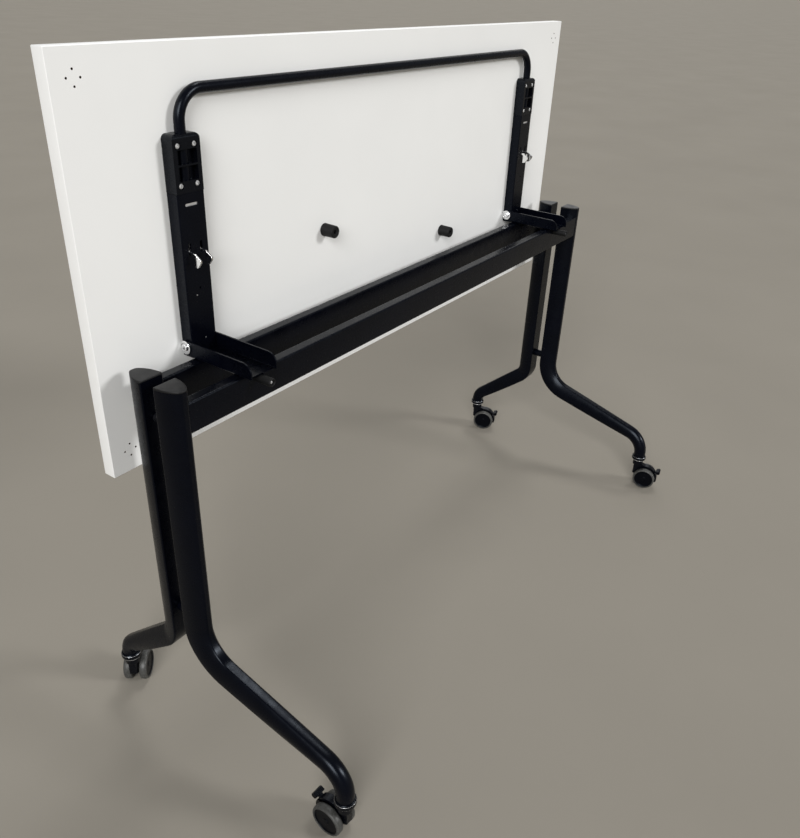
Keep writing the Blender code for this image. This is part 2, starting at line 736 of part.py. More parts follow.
def leg_section(width, depth, foot_radius, roundness, ridged=0.0):
    """Return (across, outward) points of a leg's section, from bullet (0) to round (1).

    A ridged (1) bullet is the foot's, with straight flanks up to a wider and lower nose.
    """
    flat = (LEG_NOSE_FLAT + ridged * (FOOT_NOSE_FLAT - LEG_NOSE_FLAT)) * width / LEG_WIDTH
    shape = LEG_NOSE_SHAPE + ridged * (FOOT_NOSE_SHAPE - LEG_NOSE_SHAPE)
    tall = depth - ridged * FOOT_NOSE_DROP
    half_points = [(0.0, -depth / 2)]
    for step in range(SECTION_STEPS - 1):
        rise = math.sin(math.pi / 2 * step / (SECTION_STEPS - 2))
        flank = max(1 - rise * rise, 0.0) ** (1 / shape)
        half_points.append((flat + (width / 2 - flat) * flank, tall * rise - depth / 2))
    half_points.append((0.0, tall - depth / 2))
    points = []
    for step, (across, outward) in enumerate(half_points):
        turn = math.pi * step / SECTION_STEPS - math.pi / 2
        blend_across = across + roundness * (foot_radius * math.cos(turn) - across)
        blend_outward = outward + roundness * (foot_radius * math.sin(turn) - outward)
        points.append((blend_across, blend_outward))
    mirrored = [(-across, outward) for across, outward in points[-2:0:-1]]
    return points + mirrored


def leg_prism(side_y, margin, low, high):
    """Return a straight length of a leg's outer section, grown by a margin."""
    section = leg_section(LEG_WIDTH + 2 * margin, LEG_DEPTH + 2 * margin, 0.0, 0.0)
    outline = [(across, side_y * (LEG_MIDDLE_Y + outward)) for across, outward in section]
    return prism(outline, low, high, along_z)


def leg_path(side_y):
    """Return a leg's stations, how far along it each lies, its taper and its reach."""
    if side_y < 0:
        reach, taper = FRONT_FOOT_REACH, FRONT_TAPER
        knee = (LEG_MIDDLE_Y, FRONT_KNEE_HEIGHT, FRONT_KNEE_ROUND)
        toe = (reach, FRONT_TOE_HEIGHT, FRONT_TOE_ROUND)
    else:
        reach, taper = REAR_FOOT_REACH, REAR_TAPER
        knee = (LEG_MIDDLE_Y, REAR_KNEE_HEIGHT, REAR_KNEE_ROUND)
        toe = (reach, REAR_TOE_HEIGHT, REAR_TOE_ROUND)
    stations = path_stations(((LEG_MIDDLE_Y, LEG_TOP, 0), knee, toe, (reach, FOOT_END, 0)), BEND_STEPS)
    after_knee = BEND_STEPS + 2
    first, direction = stations[after_knee - 1]
    last = stations[after_knee][0]
    stations[after_knee:after_knee] = [
        (first.lerp(last, step / FOOT_STEPS), direction) for step in range(1, FOOT_STEPS)
    ]
    lengths = [0.0]
    for (before, _), (after, _) in zip(stations, stations[1:]):
        lengths.append(lengths[-1] + (after - before).length)
    return stations, lengths, taper, reach


def leg(side_y):
    """Return a leg that runs down, bends out and turns down again over its caster."""
    stations, lengths, taper, reach = leg_path(side_y)
    start, knee_end, end = lengths[1], lengths[BEND_STEPS + 1], lengths[-2]

    def rings(wall, count):
        hoops = []
        for (point, direction), length in zip(stations[:count], lengths):
            roundness = min(max((length - start) / (end - start), 0.0), 1.0) ** taper
            bent = min(max((length - start) / (knee_end - start), 0.0), 1.0)
            ridged = bent * bent * (3 - 2 * bent)
            section = leg_section(
                LEG_WIDTH - 2 * wall, LEG_DEPTH - 2 * wall, FOOT_DIAMETER / 2 - wall, roundness, ridged)
            hoop = []
            for across, outward in section:
                distance = point.x - direction.y * outward
                height = point.y + direction.x * outward
                hoop.append(Vector((across, side_y * distance, height)))
            hoops.append(hoop)
        return hoops

    bore_end = BEND_STEPS + FOOT_STEPS + 1
    hollow = rings(LEG_WALL, bore_end)
    mouth = Vector((0.0, 0.0, LEG_WALL))
    hollow[0] = [point + mouth for point in hollow[0]]
    socket = rod(STEM_DIAMETER / 2 + FIT_GAP, CASTER_HEIGHT, FOOT_END + STEM_SHANK_HEIGHT, along_z,
                 SMALL_SIDES, (0.0, side_y * reach))
    return cut(loft(rings(0.0, len(stations))), loft(hollow), socket)


def leg_cap(side_y):
    """Return the plug that closes the top of a leg."""
    inset = LEG_WALL + FIT_GAP
    levels = (
        (0.0, LEG_CAP_TOP), (0.0, LEG_TOP + FIT_GAP),
        (inset, LEG_TOP + FIT_GAP), (inset, LEG_TOP - LEG_CAP_PLUG_DEPTH),
    )
    rings = []
    for margin, level in levels:
        section = leg_section(LEG_WIDTH - 2 * margin, LEG_DEPTH - 2 * margin, 0.0, 0.0)
        rings.append([
            Vector((across, side_y * (LEG_MIDDLE_Y + outward), level)) for across, outward in section
        ])
    return loft(rings)


def leg_spacer(diameter):
    """Return a spacer that fills the gap between a front and a rear leg."""
    reach = LEG_GAP / 2 - FIT_GAP
    return rod(diameter / 2, -reach, reach, along_y, ROUND_SIDES)


def beam(side_y):
    """Return a hollow beam whose ends are shaped to the legs."""
    low = BEAM_TOP_HEIGHT - BEAM_HEIGHT

    def outline(wall):
        corner = max(BEAM_CORNER_ROUND - wall, FIT_GAP)
        near, far = BEAM_Y - BEAM_WIDTH / 2 + wall, BEAM_Y + BEAM_WIDTH / 2 - wall
        bottom, top = low + wall, BEAM_TOP_HEIGHT - wall
        corners = ((near, bottom, corner), (far, bottom, corner), (far, top, corner), (near, top, corner))
        return [(side_y * a, b) for a, b in rounded_outline(corners)]

    def rings(wall):
        return [[along_x(a, b, end) for a, b in outline(wall)] for end in (-LEG_X, LEG_X)]

    tube = hollow_loft(rings(0.0), rings(BEAM_WALL))
    tools = []
    for side_x in (-1, 1):
        tool = leg_prism(side_y, FIT_GAP, low - BEAM_HEIGHT, BEAM_TOP_HEIGHT + BEAM_HEIGHT)
        tool.transform(Matrix.Translation((side_x * LEG_X, 0.0, 0.0)))
        tools.append(tool)
    return cut(tube, *tools)


def caster_stem():
    """Return the stem with the collar under a leg's foot."""
    pin = STEM_DIAMETER / 2
    collar = COLLAR_DIAMETER / 2
    collar_top = CASTER_HEIGHT + COLLAR_HEIGHT
    shank_top = collar_top + STEM_SHANK_HEIGHT
    pin_end = CASTER_HEIGHT - STEM_LENGTH
    profile = (
        (0, shank_top), (pin, shank_top), (pin, collar_top), (collar, collar_top),
        (collar, CASTER_HEIGHT), (pin, CASTER_HEIGHT), (pin, pin_end), (0, pin_end),
    )
    return turned(profile, SMALL_SIDES, along_z)


def lever_place():
    """Return the brake lever's pivot as (along the trail, height)."""
    along = CASTER_TRAIL + LEVER_SEAT_RADIUS * math.cos(LEVER_SEAT_ANGLE)
    return Vector((along, AXLE_HEIGHT + LEVER_SEAT_RADIUS * math.sin(LEVER_SEAT_ANGLE)))


def caster_hood():
    """Return the hood between a caster's wheels, trailing along +X from its stem."""
    half = HOOD_THICKNESS / 2
    neck_low = HOOD_TOP - NECK_HEIGHT
    skirt = AXLE_HEIGHT - HOOD_SKIRT
    first = -math.asin(HOOD_SKIRT / HOOD_RADIUS)
    last = math.radians(95)
    outline = []
    for step in range(SMALL_SIDES + 1):
        turn = first + (last - first) * step / SMALL_SIDES
        outline.append((
            CASTER_TRAIL + HOOD_RADIUS * math.cos(turn), AXLE_HEIGHT + HOOD_RADIUS * math.sin(turn),
        ))
    post_top = neck_low + NECK_HEIGHT / 3
    post_half = HOOD_POST_WIDTH / 2
    outline += [
        (post_half, post_top), (-post_half, post_top), (-post_half, neck_low - HOOD_POST_DROP),
        (CASTER_TRAIL - HOOD_SKIRT, skirt),
    ]
    neck = rod(NECK_DIAMETER / 2, neck_low, HOOD_TOP, along_z, ROUND_SIDES)
    body = fuse(prism(outline, -half, half, along_y), neck)
    stem_floor = CASTER_HEIGHT - STEM_LENGTH - FIT_GAP
    stem_bore = rod(STEM_DIAMETER / 2 + FIT_GAP, stem_floor, HOOD_TOP + NECK_HEIGHT, along_z, SMALL_SIDES)
    axle_bore = rod(AXLE_DIAMETER / 2 + FIT_GAP, -HOOD_THICKNESS, HOOD_THICKNESS, along_y,
                    HOLE_SIDES, (CASTER_TRAIL, AXLE_HEIGHT))
    pivot = lever_place()
    seat = rod(LEVER_KNUCKLE_DIAMETER / 2 + FIT_GAP, -HOOD_THICKNESS, HOOD_THICKNESS, along_y,
               SMALL_SIDES, tuple(pivot))
    side = LEVER_THICKNESS / 2 + FIT_GAP
    far = 2 * LEVER_REACH
    slot = []
    for start, end, turn, offset in ((0, far, LEVER_REST_ANGLE, side),
                                     (far, 0, LEVER_REST_ANGLE - LEVER_TRAVEL, -side)):
        spin = Matrix.Rotation(turn, 2)
        slot += [tuple(pivot + spin @ Vector((reach, offset))) for reach in (start, end)]
    swing = prism(slot, -HOOD_THICKNESS, HOOD_THICKNESS, along_y)
    return cut(body, stem_bore, axle_bore, seat, swing)


def caster_axle():
    """Return the axle that both wheels run on, about its own middle."""
    reach = HOOD_THICKNESS / 2 + WHEEL_SIDE_GAP + WHEEL_BORE_DEPTH - FIT_GAP
    return rod(AXLE_DIAMETER / 2, -reach, reach, along_y, HOLE_SIDES)


def caster_wheel(side):
    """Return a wheel beside the hood, about the axle's middle."""
    radius = WHEEL_DIAMETER / 2
    edge = WHEEL_EDGE_ROUND
    bore = AXLE_DIAMETER / 2 + FIT_GAP
    inner = HOOD_THICKNESS / 2 + WHEEL_SIDE_GAP
    outer = inner + WHEEL_WIDTH
    rim = radius - WHEEL_RIM
    profile = (
        (0, outer - WHEEL_DISH), (rim, outer - WHEEL_DISH), (rim + WHEEL_DISH, outer),
        (radius - edge, outer), (radius, outer - edge), (radius, inner + edge), (radius - edge, inner),
        (bore, inner), (bore, inner + WHEEL_BORE_DEPTH), (0, inner + WHEEL_BORE_DEPTH),
    )
    return turned([(distance, side * level) for distance, level in profile], WHEEL_SIDES, along_y)


def brake_lever():
    """Return the brake lever about its pivot, pointing along its rest angle."""
    half = LEVER_WIDTH / 2
    thick = LEVER_THICKNESS / 2
    deep = PEDAL_THICKNESS / 2
    near = LEVER_REACH - PEDAL_LENGTH
    middle = LEVER_REACH - PEDAL_LENGTH / 2
    spin = Matrix.Rotation(LEVER_REST_ANGLE, 2)

    def bar(corners, width):
        return prism([tuple(spin @ Vector(corner)) for corner in corners], -width, width, along_y)

    knuckle = rod(LEVER_KNUCKLE_DIAMETER / 2, -half, half, along_y, SMALL_SIDES)
    neck = bar(((0.0, -thick), (middle, -thick), (middle, thick), (0.0, thick)), half)
    pedal = bar((
        (near + PEDAL_CHAMFER, -deep), (LEVER_REACH - PEDAL_CHAMFER, -deep), (LEVER_REACH, 0.0),
        (LEVER_REACH - PEDAL_CHAMFER, deep), (near, deep), (near, 0.0),
    ), PEDAL_WIDTH / 2)
    return fuse(knuckle, neck, pedal)


def add_caster(corner, place, turn, frame, finishes):
    """Add a caster's stem, hood, axle, wheels and brake lever at a corner."""
    add_piece(f"{corner}_caster_stem", caster_stem(), finishes["steel"], frame, place)
    swivel = add_empty(f"{corner}_swivel", frame, place, turn)
    add_piece(f"{corner}_caster_hood", caster_hood(), finishes["plastic"], swivel)
    axle = add_empty(f"{corner}_axle_line", swivel, (CASTER_TRAIL, 0.0, AXLE_HEIGHT))
    add_piece(f"{corner}_caster_axle", caster_axle(), finishes["steel"], axle)
    add_piece(f"{corner}_caster_left_wheel", caster_wheel(1), finishes["tyre"], axle)
    add_piece(f"{corner}_caster_right_wheel", caster_wheel(-1), finishes["tyre"], axle)
    pivot = lever_place()
    add_piece(f"{corner}_brake_lever", brake_lever(), finishes["plastic"], swivel, (pivot.x, 0.0, pivot.y))


def add_frame(frame, finishes):
    """Add the beams, legs, spacers, brackets, pivots, nesting bumpers and casters."""
    add_piece("front_beam", beam(-1), finishes["coating"], frame)
    add_piece("rear_beam", beam(1), finishes["coating"], frame)
    for side, side_x in SIDES:
        leg_place = (side_x * LEG_X, 0.0, 0.0)
        tie_place = (side_x * LEG_X, 0.0, BEAM_TOP_HEIGHT - UPPER_TIE_DROP)
        spacer_place = (side_x * LEG_X, 0.0, LOWER_SPACER_HEIGHT)
        add_piece(f"{side}_upper_leg_tie", leg_spacer(UPPER_TIE_DIAMETER), finishes["steel"],
                  frame, tie_place)
        add_piece(f"{side}_lower_leg_spacer", leg_spacer(LOWER_SPACER_DIAMETER), finishes["coating"],
                  frame, spacer_place)
        for end, side_y in (("front", -1), ("rear", 1)):
            add_piece(f"{side}_{end}_leg", leg(side_y), finishes["coating"], frame, leg_place)
            add_piece(f"{side}_{end}_leg_cap", leg_cap(side_y), finishes["plastic"], frame, leg_place)
        arm_x = side_x * ARM_X
        pivot_place = (arm_x, PIVOT_Y, PIVOT_Z)
        add_piece(f"{side}_support_bracket", support_bracket(), finishes["coating"], frame, (arm_x, 0.0, 0.0))
        add_piece(f"{side}_pivot_bolt", pivot_bolt(), finishes["chrome"], frame, pivot_place)
        add_piece(f"{side}_pivot_nut", pivot_nut(), finishes["steel"], frame, pivot_place)
        nest_place = (arm_x, -BEAM_FACE_Y, BEAM_TOP_HEIGHT - NEST_BUMPER_DROP)
        nest_bumper = bumper(NEST_BUMPER_DIAMETER, NEST_BUMPER_LENGTH, NEST_BUMPER_HOLE)
        add_piece(f"{side}_nesting_bumper", nest_bumper, finishes["rubber"], frame, nest_place)
    for corner, side_x, side_y, turn in CORNERS:
        reach = FRONT_FOOT_REACH if side_y < 0 else REAR_FOOT_REACH
        add_caster(corner, (side_x * LEG_X, side_y * reach, 0.0), turn, frame, finishes)


def add_top(pivot, finishes):
    """Add the pieces that flip with the top, about its pivot."""
    add_piece("table_top", table_top(), finishes["board"], pivot)
    length = UNDERSIDE_HEIGHT - BEAM_TOP_HEIGHT - 2 * FIT_GAP
    for (side, side_x), beam_y in zip(SIDES, (-BEAM_Y, BEAM_Y)):
        arm_place = (side_x * ARM_X, 0.0, 0.0)
        add_piece(f"{side}_flip_arm", flip_arm(), finishes["coating"], pivot, arm_place)
        add_piece(f"{side}_grip_block", grip_block(), finishes["plastic"], pivot, arm_place)
        spring, gap = return_spring()
        add_piece(f"{side}_return_spring", spring, finishes["steel"], pivot, arm_place)
        print(f"{side} return spring: least gap between curls {gap * 1000:.2f} mm")
        bumper_place = (side_x * TOP_BUMPER_SPREAD / 2, PIVOT_TO_UNDERSIDE, PIVOT_Y - beam_y)
        top_bumper = bumper(TOP_BUMPER_DIAMETER, length, TOP_BUMPER_HOLE)
        add_piece(f"{side}_top_bumper", top_bumper, finishes["rubber"], pivot, bumper_place)


def add_release(slide, finishes):
    """Add the pieces that slide along the arms when the bar is pulled."""
    add_piece("release_bar", release_bar(), finishes["coating"], slide)
    for side, side_x in SIDES:
        arm_place = (side_x * ARM_X, 0.0, 0.0)
        add_piece(f"{side}_pull_rod", pull_rod(), finishes["steel"], slide, arm_place)
        add_piece(f"{side}_latch_hook", latch_hook(), finishes["steel"], slide, arm_place)


def centre_on_floor(root):
    """Move the root so that the origin is under the middle of the table's box."""
    bpy.context.view_layer.update()
    low = Vector((math.inf, math.inf))
    high = -low
    for piece in bpy.context.scene.objects:
        if piece.type == "MESH":
            for vertex in piece.data.vertices:
                spot = piece.matrix_world @ vertex.co
                low = Vector(map(min, low, spot.xy))
                high = Vector(map(max, high, spot.xy))
    root.location.xy = -(low + high) / 2
    bpy.context.view_layer.update()


def main():
    """Build the table."""
    clear_scene()
    finishes = {
        "board": make_material("white_board", (0.80, 0.80, 0.78), 0.45),
        "coating": make_material("black_coating", (0.012, 0.012, 0.014), 0.35),
        "plastic": make_material("black_plastic", (0.015, 0.015, 0.016), 0.5),
        "rubber": make_material("black_rubber", (0.010, 0.010, 0.010), 0.7),
        "tyre": make_material("grey_tyre", (0.30, 0.30, 0.30), 0.5),
        "steel": make_material("zinc_steel", (0.55, 0.55, 0.56), 0.35, 1.0),
        "chrome": make_material("bright_chrome", (0.75, 0.75, 0.76), 0.12, 1.0),
    }
    root = add_empty("table", None)
    frame = add_empty("frame", root)
    pivot = add_empty("top_pivot", root, (0.0, PIVOT_Y, PIVOT_Z))
    slide = add_empty("release_slide", pivot)
    add_frame(frame, finishes)
    add_top(pivot, finishes)
    add_release(slide, finishes)
    centre_on_floor(root)


main()
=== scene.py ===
"""Dress the flip top training table: fine meshes, finishes, floor, light and camera.

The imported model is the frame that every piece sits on. Lengths are in metres and +Z is up. +X runs
along the table and +Y points from the release bar side through the upright top.
"""

import json
import logging
import math
from dataclasses import dataclass
from enum import Enum
from typing import Sequence

import bmesh
import bpy
from mathutils import Matrix, Vector


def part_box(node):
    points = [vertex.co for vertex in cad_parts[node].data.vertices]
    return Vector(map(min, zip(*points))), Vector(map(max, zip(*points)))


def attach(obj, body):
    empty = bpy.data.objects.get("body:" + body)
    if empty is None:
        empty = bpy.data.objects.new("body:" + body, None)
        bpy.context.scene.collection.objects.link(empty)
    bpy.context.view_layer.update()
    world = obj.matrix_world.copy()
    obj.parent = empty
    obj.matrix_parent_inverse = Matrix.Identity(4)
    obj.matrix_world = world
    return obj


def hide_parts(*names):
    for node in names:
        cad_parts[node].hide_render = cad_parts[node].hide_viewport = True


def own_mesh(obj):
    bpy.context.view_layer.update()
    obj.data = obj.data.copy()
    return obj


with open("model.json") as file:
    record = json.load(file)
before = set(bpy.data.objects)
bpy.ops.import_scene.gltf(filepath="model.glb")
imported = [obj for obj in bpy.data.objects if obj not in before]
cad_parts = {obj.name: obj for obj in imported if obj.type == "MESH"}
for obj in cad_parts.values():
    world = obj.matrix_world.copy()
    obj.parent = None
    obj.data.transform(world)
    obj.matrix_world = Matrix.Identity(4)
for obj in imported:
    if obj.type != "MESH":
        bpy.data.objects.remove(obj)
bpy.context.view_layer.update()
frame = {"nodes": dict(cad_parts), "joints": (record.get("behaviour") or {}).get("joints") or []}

log = logging.getLogger("training_table")
Outline = list[tuple[float, float]]
FIT = 0.0003  # clearance between pieces that sit on each other
OVERCUT = 0.01  # how far a cutting tool reaches past the work
ROUND_END = 0.98  # share of a half width that the rounding of a slot's end takes


class Named(Enum):
    """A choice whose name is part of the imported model's names."""

    @property
    def label(self) -> str:
        """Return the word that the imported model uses."""
        return self.name.lower()


class Side(Named):
    """An end of the table, as the sign of X."""

    LEFT = -1
    RIGHT = 1


class Row(Named):
    """A row of legs, as the sign of Y."""

    FRONT = -1
    REAR = 1


class Run(Enum):
    """The axis that a flat outline is carried along."""

    X = "x"
    Y = "y"
    Z = "z"

    def place(self, a: float, b: float, level: float) -> Vector:
        """Put an outline's point at a level of the run.

        Args:
            a: First coordinate in the outline.
            b: Second coordinate in the outline.
            level: Distance along the run.

        Returns:
            The point in space.
        """
        if self is Run.X:
            return Vector((level, a, b))
        if self is Run.Y:
            return Vector((a, level, b))
        return Vector((a, b, level))


class Body(Enum):
    """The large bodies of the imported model."""

    FRAME = "frame"
    TOP = "top"
    RELEASE = "release"


def joint_place(name: str) -> Vector:
    """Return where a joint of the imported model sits."""
    return Vector(next(joint["pos_m"] for joint in frame["joints"] if joint["name"] == name))


def joint_axis(name: str) -> Vector:
    """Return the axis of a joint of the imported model."""
    return Vector(next(joint["axis"] for joint in frame["joints"] if joint["name"] == name))


def middle_plane() -> float:
    """Return the Y of the plane midway between the front and the rear legs."""
    low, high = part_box("left_upper_leg_tie")
    return (low.y + high.y) / 2


def circle(radius: float, sides: int, centre: tuple[float, float] = (0.0, 0.0)) -> Outline:
    """Return the points of a circle.

    Args:
        radius: Radius of the circle.
        sides: Number of points.
        centre: Middle of the circle.

    Returns:
        The outline's points, counter-clockwise.
    """
    turns = [math.tau * (index + 0.5) / sides for index in range(sides)]
    return [(centre[0] + radius * math.cos(turn), centre[1] + radius * math.sin(turn)) for turn in turns]


def corner_arc(before: Vector, corner: Vector, after: Vector, radius: float, steps: int) -> list:
    """Round one corner of a flat path.

    Args:
        before: Point that the path comes from.
        corner: The corner itself.
        after: Point that the path goes to.
        radius: Radius of the rounding.
        steps: Number of pieces in the arc.

    Returns:
        (point, direction) pairs along the arc.
    """
    incoming = (corner - before).normalized()
    outgoing = (after - corner).normalized()
    turn = math.atan2(incoming.cross(outgoing), incoming.dot(outgoing))
    start = corner - incoming * radius * math.tan(abs(turn) / 2)
    side = Vector((-incoming.y, incoming.x)) * math.copysign(radius, turn)
    arc = []
    for step in range(steps + 1):
        spin = Matrix.Rotation(turn * step / steps, 2)
        arc.append((start + side - spin @ side, spin @ incoming))
    return arc


def path_stations(corners: Sequence[tuple], steps: int) -> list:
    """Follow an open path with rounded corners.

    Args:
        corners: (a, b, radius) corners of the path.
        steps: Number of pieces in each arc.

    Returns:
        (point, direction) pairs along the path.
    """
    points = [Vector(corner[:2]) for corner in corners]
    stations = [(points[0], (points[1] - points[0]).normalized())]
    for index in range(1, len(points) - 1):
        if corners[index][2] > 0:
            stations += corner_arc(*points[index - 1:index + 2], corners[index][2], steps)
        else:
            stations.append((points[index], (points[index + 1] - points[index]).normalized()))
    stations.append((points[-1], (points[-1] - points[-2]).normalized()))
    return stations


def rounded(corners: Sequence[tuple], steps: int = 6) -> Outline:
    """Round the corners of a closed outline.

    Args:
        corners: (a, b, radius) corners of the outline.
        steps: Number of pieces in each arc.

    Returns:
        The outline's points.
    """
    points = [Vector(corner[:2]) for corner in corners]
    outline: Outline = []
    for index, corner in enumerate(corners):
        following = points[(index + 1) % len(points)]
        if corner[2] > 0:
            arc = corner_arc(points[index - 1], points[index], following, corner[2], steps)
            outline += [tuple(point) for point, _ in arc]
        else:
            outline.append(tuple(points[index]))
    return outline


def rounded_box(low: tuple[float, float], high: tuple[float, float], radius: float,
                steps: int = 6) -> Outline:
    """Return a rectangle with rounded corners.

    Args:
        low: Lowest corner.
        high: Highest corner.
        radius: Radius of the four roundings.
        steps: Number of pieces in each arc.

    Returns:
        The outline's points.
    """
    return rounded(((low[0], low[1], radius), (high[0], low[1], radius),
                    (high[0], high[1], radius), (low[0], high[1], radius)), steps)


def profile(*corners: tuple, steps: int = 5) -> Outline:
    """Return a turned piece's (radius, level) points from corners that have a rounding each."""
    return [tuple(point) for point, _ in path_stations(corners, steps)]


def link_object(name: str, data: bpy.types.ID) -> bpy.types.Object:
    """Put an object into the scene.

    Args:
        name: Name of the object.
        data: Mesh, lamp or camera that it shows.

    Returns:
        The object.
    """
    made = bpy.data.objects.new(name, data)
    bpy.context.scene.collection.objects.link(made)
    return made


@dataclass
class Shape:
    """A mesh in the making."""

    mesh: bpy.types.Mesh

    @classmethod
    def from_bmesh(cls, work: bmesh.types.BMesh) -> "Shape":
        """Turn a bmesh into a shape whose faces point out.

        Args:
            work: The bmesh, which is freed.

        Returns:
            The shape.
        """
        bmesh.ops.recalc_face_normals(work, faces=work.faces)
        mesh = bpy.data.meshes.new("shape")
        work.to_mesh(mesh)
        work.free()
        return cls(mesh)

    @classmethod
    def loft(cls, rings: Sequence[Sequence[Vector]], closed: bool = False) -> "Shape":
        """Skin rings of points.

        Args:
            rings: Rings that all have the same number of points.
            closed: Whether the last ring joins the first, in place of caps.

        Returns:
            The closed solid.
        """
        work = bmesh.new()
        loops = [[work.verts.new(point) for point in ring] for ring in rings]
        pairs = list(zip(loops, loops[1:]))
        if closed:
            pairs.append((loops[-1], loops[0]))
        for first, second in pairs:
            for index in range(len(first)):
                following = (index + 1) % len(first)
                work.faces.new((first[index], first[following], second[following], second[index]))
        if not closed:
            work.faces.new(loops[0])
            work.faces.new(loops[-1])
        return cls.from_bmesh(work)

    @classmethod
    def prism(cls, outline: Outline, low: float, high: float, run: Run) -> "Shape":
        """Return the solid of an outline carried from one level to another."""
        return cls.loft([[run.place(a, b, level) for a, b in outline] for level in (low, high)])

    @classmethod
    def block(cls, low: Sequence[float], high: Sequence[float]) -> "Shape":
        """Return a box between two corners."""
        corners = [(low[0], low[1]), (high[0], low[1]), (high[0], high[1]), (low[0], high[1])]
        return cls.prism(corners, low[2], high[2], Run.Z)

    @classmethod
    def turned(cls, points: Outline, sides: int, run: Run,
               centre: tuple[float, float] = (0.0, 0.0), closed: bool = False) -> "Shape":
        """Turn a profile about an axis.

        Args:
            points: (radius, level) points, with poles where the radius is zero.
            sides: Number of facets round the axis.
            run: Axis of the turning.
            centre: Where the axis crosses the plane of the circles.
            closed: Whether the profile is a loop, as for a ring.

        Returns:
            The turned solid.
        """
        if closed:
            rings = [[run.place(a, b, level) for a, b in circle(radius, sides, centre)]
                     for radius, level in points]
            return cls.loft(rings, closed=True)
        work = bmesh.new()
        loops = []
        for radius, level in points:
            spots = circle(radius, sides, centre) if radius > 0 else [centre]
            loops.append([work.verts.new(run.place(a, b, level)) for a, b in spots])
        for first, second in zip(loops, loops[1:]):
            for index in range(sides):
                corners = [first[index % len(first)], first[(index + 1) % len(first)]]
                corners += [second[(index + 1) % len(second)], second[index % len(second)]]
                work.faces.new(list(dict.fromkeys(corners)))
        return cls.from_bmesh(work)

    def moved(self, matrix: Matrix) -> "Shape":
        """Carry the mesh to its place and return the shape."""
        self.mesh.transform(matrix)
        return self

    def evaluated(self, modifiers: Sequence[tuple[str, dict]]) -> "Shape":
        """Apply modifiers to the mesh.

        Args:
            modifiers: Modifier types, each with its settings.

        Returns:
            The shape with a new plain mesh.
        """
        holder = link_object("holder", self.mesh)
        for kind, settings in modifiers:
            modifier = holder.modifiers.new(kind.lower(), kind)
            for key, value in settings.items():
                setattr(modifier, key, value)
        graph = bpy.context.evaluated_depsgraph_get()
        self.mesh = bpy.data.meshes.new_from_object(holder.evaluated_get(graph))
        bpy.data.objects.remove(holder)
        return self

    def combined(self, operation: str, tools: Sequence["Shape"]) -> "Shape":
        """Apply a Boolean with each of the tools.

        Args:
            operation: Name of Blender's Boolean operation.
            tools: Shapes that are used up.

        Returns:
            The changed shape.
        """
        helpers = [link_object("tool", tool.mesh) for tool in tools]
        self.evaluated([("BOOLEAN", {"operation": operation, "solver": "EXACT", "object": helper})
                        for helper in helpers])
        for helper in helpers:
            bpy.data.objects.remove(helper)
        return self

    def cut(self, *tools: "Shape") -> "Shape":
        """Cut the tools out of the shape."""
        return self.combined("DIFFERENCE", tools)

    def fused(self, *others: "Shape") -> "Shape":
        """Join other shapes to this one."""
        return self.combined("UNION", others)

    def kept(self, tool: "Shape") -> "Shape":
        """Keep only what lies inside the tool."""
        return self.combined("INTERSECT", [tool])

    def softened(self, width: float, segments: int = 2, angle: float = 32.0) -> "Shape":
        """Break the sharp edges with a small rounding.

        Args:
            width: Width of the rounding.
            segments: Number of pieces across it.
            angle: Least angle of an edge that is rounded, in degrees.

        Returns:
            The rounded shape, with normals that leave its flats flat.
        """
        self.mesh.shade_smooth()
        bevel = {"width": width, "segments": segments, "limit_method": "ANGLE",
                 "angle_limit": math.radians(angle)}
        return self.evaluated([("BEVEL", bevel), ("WEIGHTED_NORMAL", {"keep_sharp": True})])

    def smoothed(self, angle: float = 35.0) -> "Shape":
        """Shade the shape smooth, apart from its sharp edges.

        Args:
            angle: Least angle of an edge that stays sharp, in degrees.

        Returns:
            The shape.
        """
        self.mesh.shade_smooth()
        self.mesh.set_sharp_from_angle(angle=math.radians(angle))
        return self


@dataclass(frozen=True)
class Pattern:
    """The nodes of a material, with the coordinates that its patterns follow."""

    tree: bpy.types.NodeTree
    spot: bpy.types.NodeSocket

    def noise(self, scale: float, detail: float,
              spot: bpy.types.NodeSocket | None = None) -> bpy.types.NodeSocket:
        """Add a noise pattern.

        Args:
            scale: Number of features to a metre.
            detail: Number of finer layers.
            spot: Other coordinates to follow.

        Returns:
            The pattern's value, about 0 to 1.
        """
        pattern = self.tree.nodes.new("ShaderNodeTexNoise")
        pattern.inputs["Scale"].default_value = scale
        pattern.inputs["Detail"].default_value = detail
        self.tree.links.new(spot or self.spot, pattern.inputs["Vector"])
        return pattern.outputs["Fac"]

    def span(self, value: bpy.types.NodeSocket, low: float, high: float) -> bpy.types.NodeSocket:
        """Stretch the middle of a noise over a range.

        Args:
            value: The noise.
            low: Value where the noise is weak.
            high: Value where the noise is strong.

        Returns:
            The stretched value.
        """
        stretch = self.tree.nodes.new("ShaderNodeMapRange")
        for label, level in (("From Min", 0.3), ("From Max", 0.7), ("To Min", low), ("To Max", high)):
            stretch.inputs[label].default_value = level
        self.tree.links.new(value, stretch.inputs["Value"])
        return stretch.outputs["Result"]


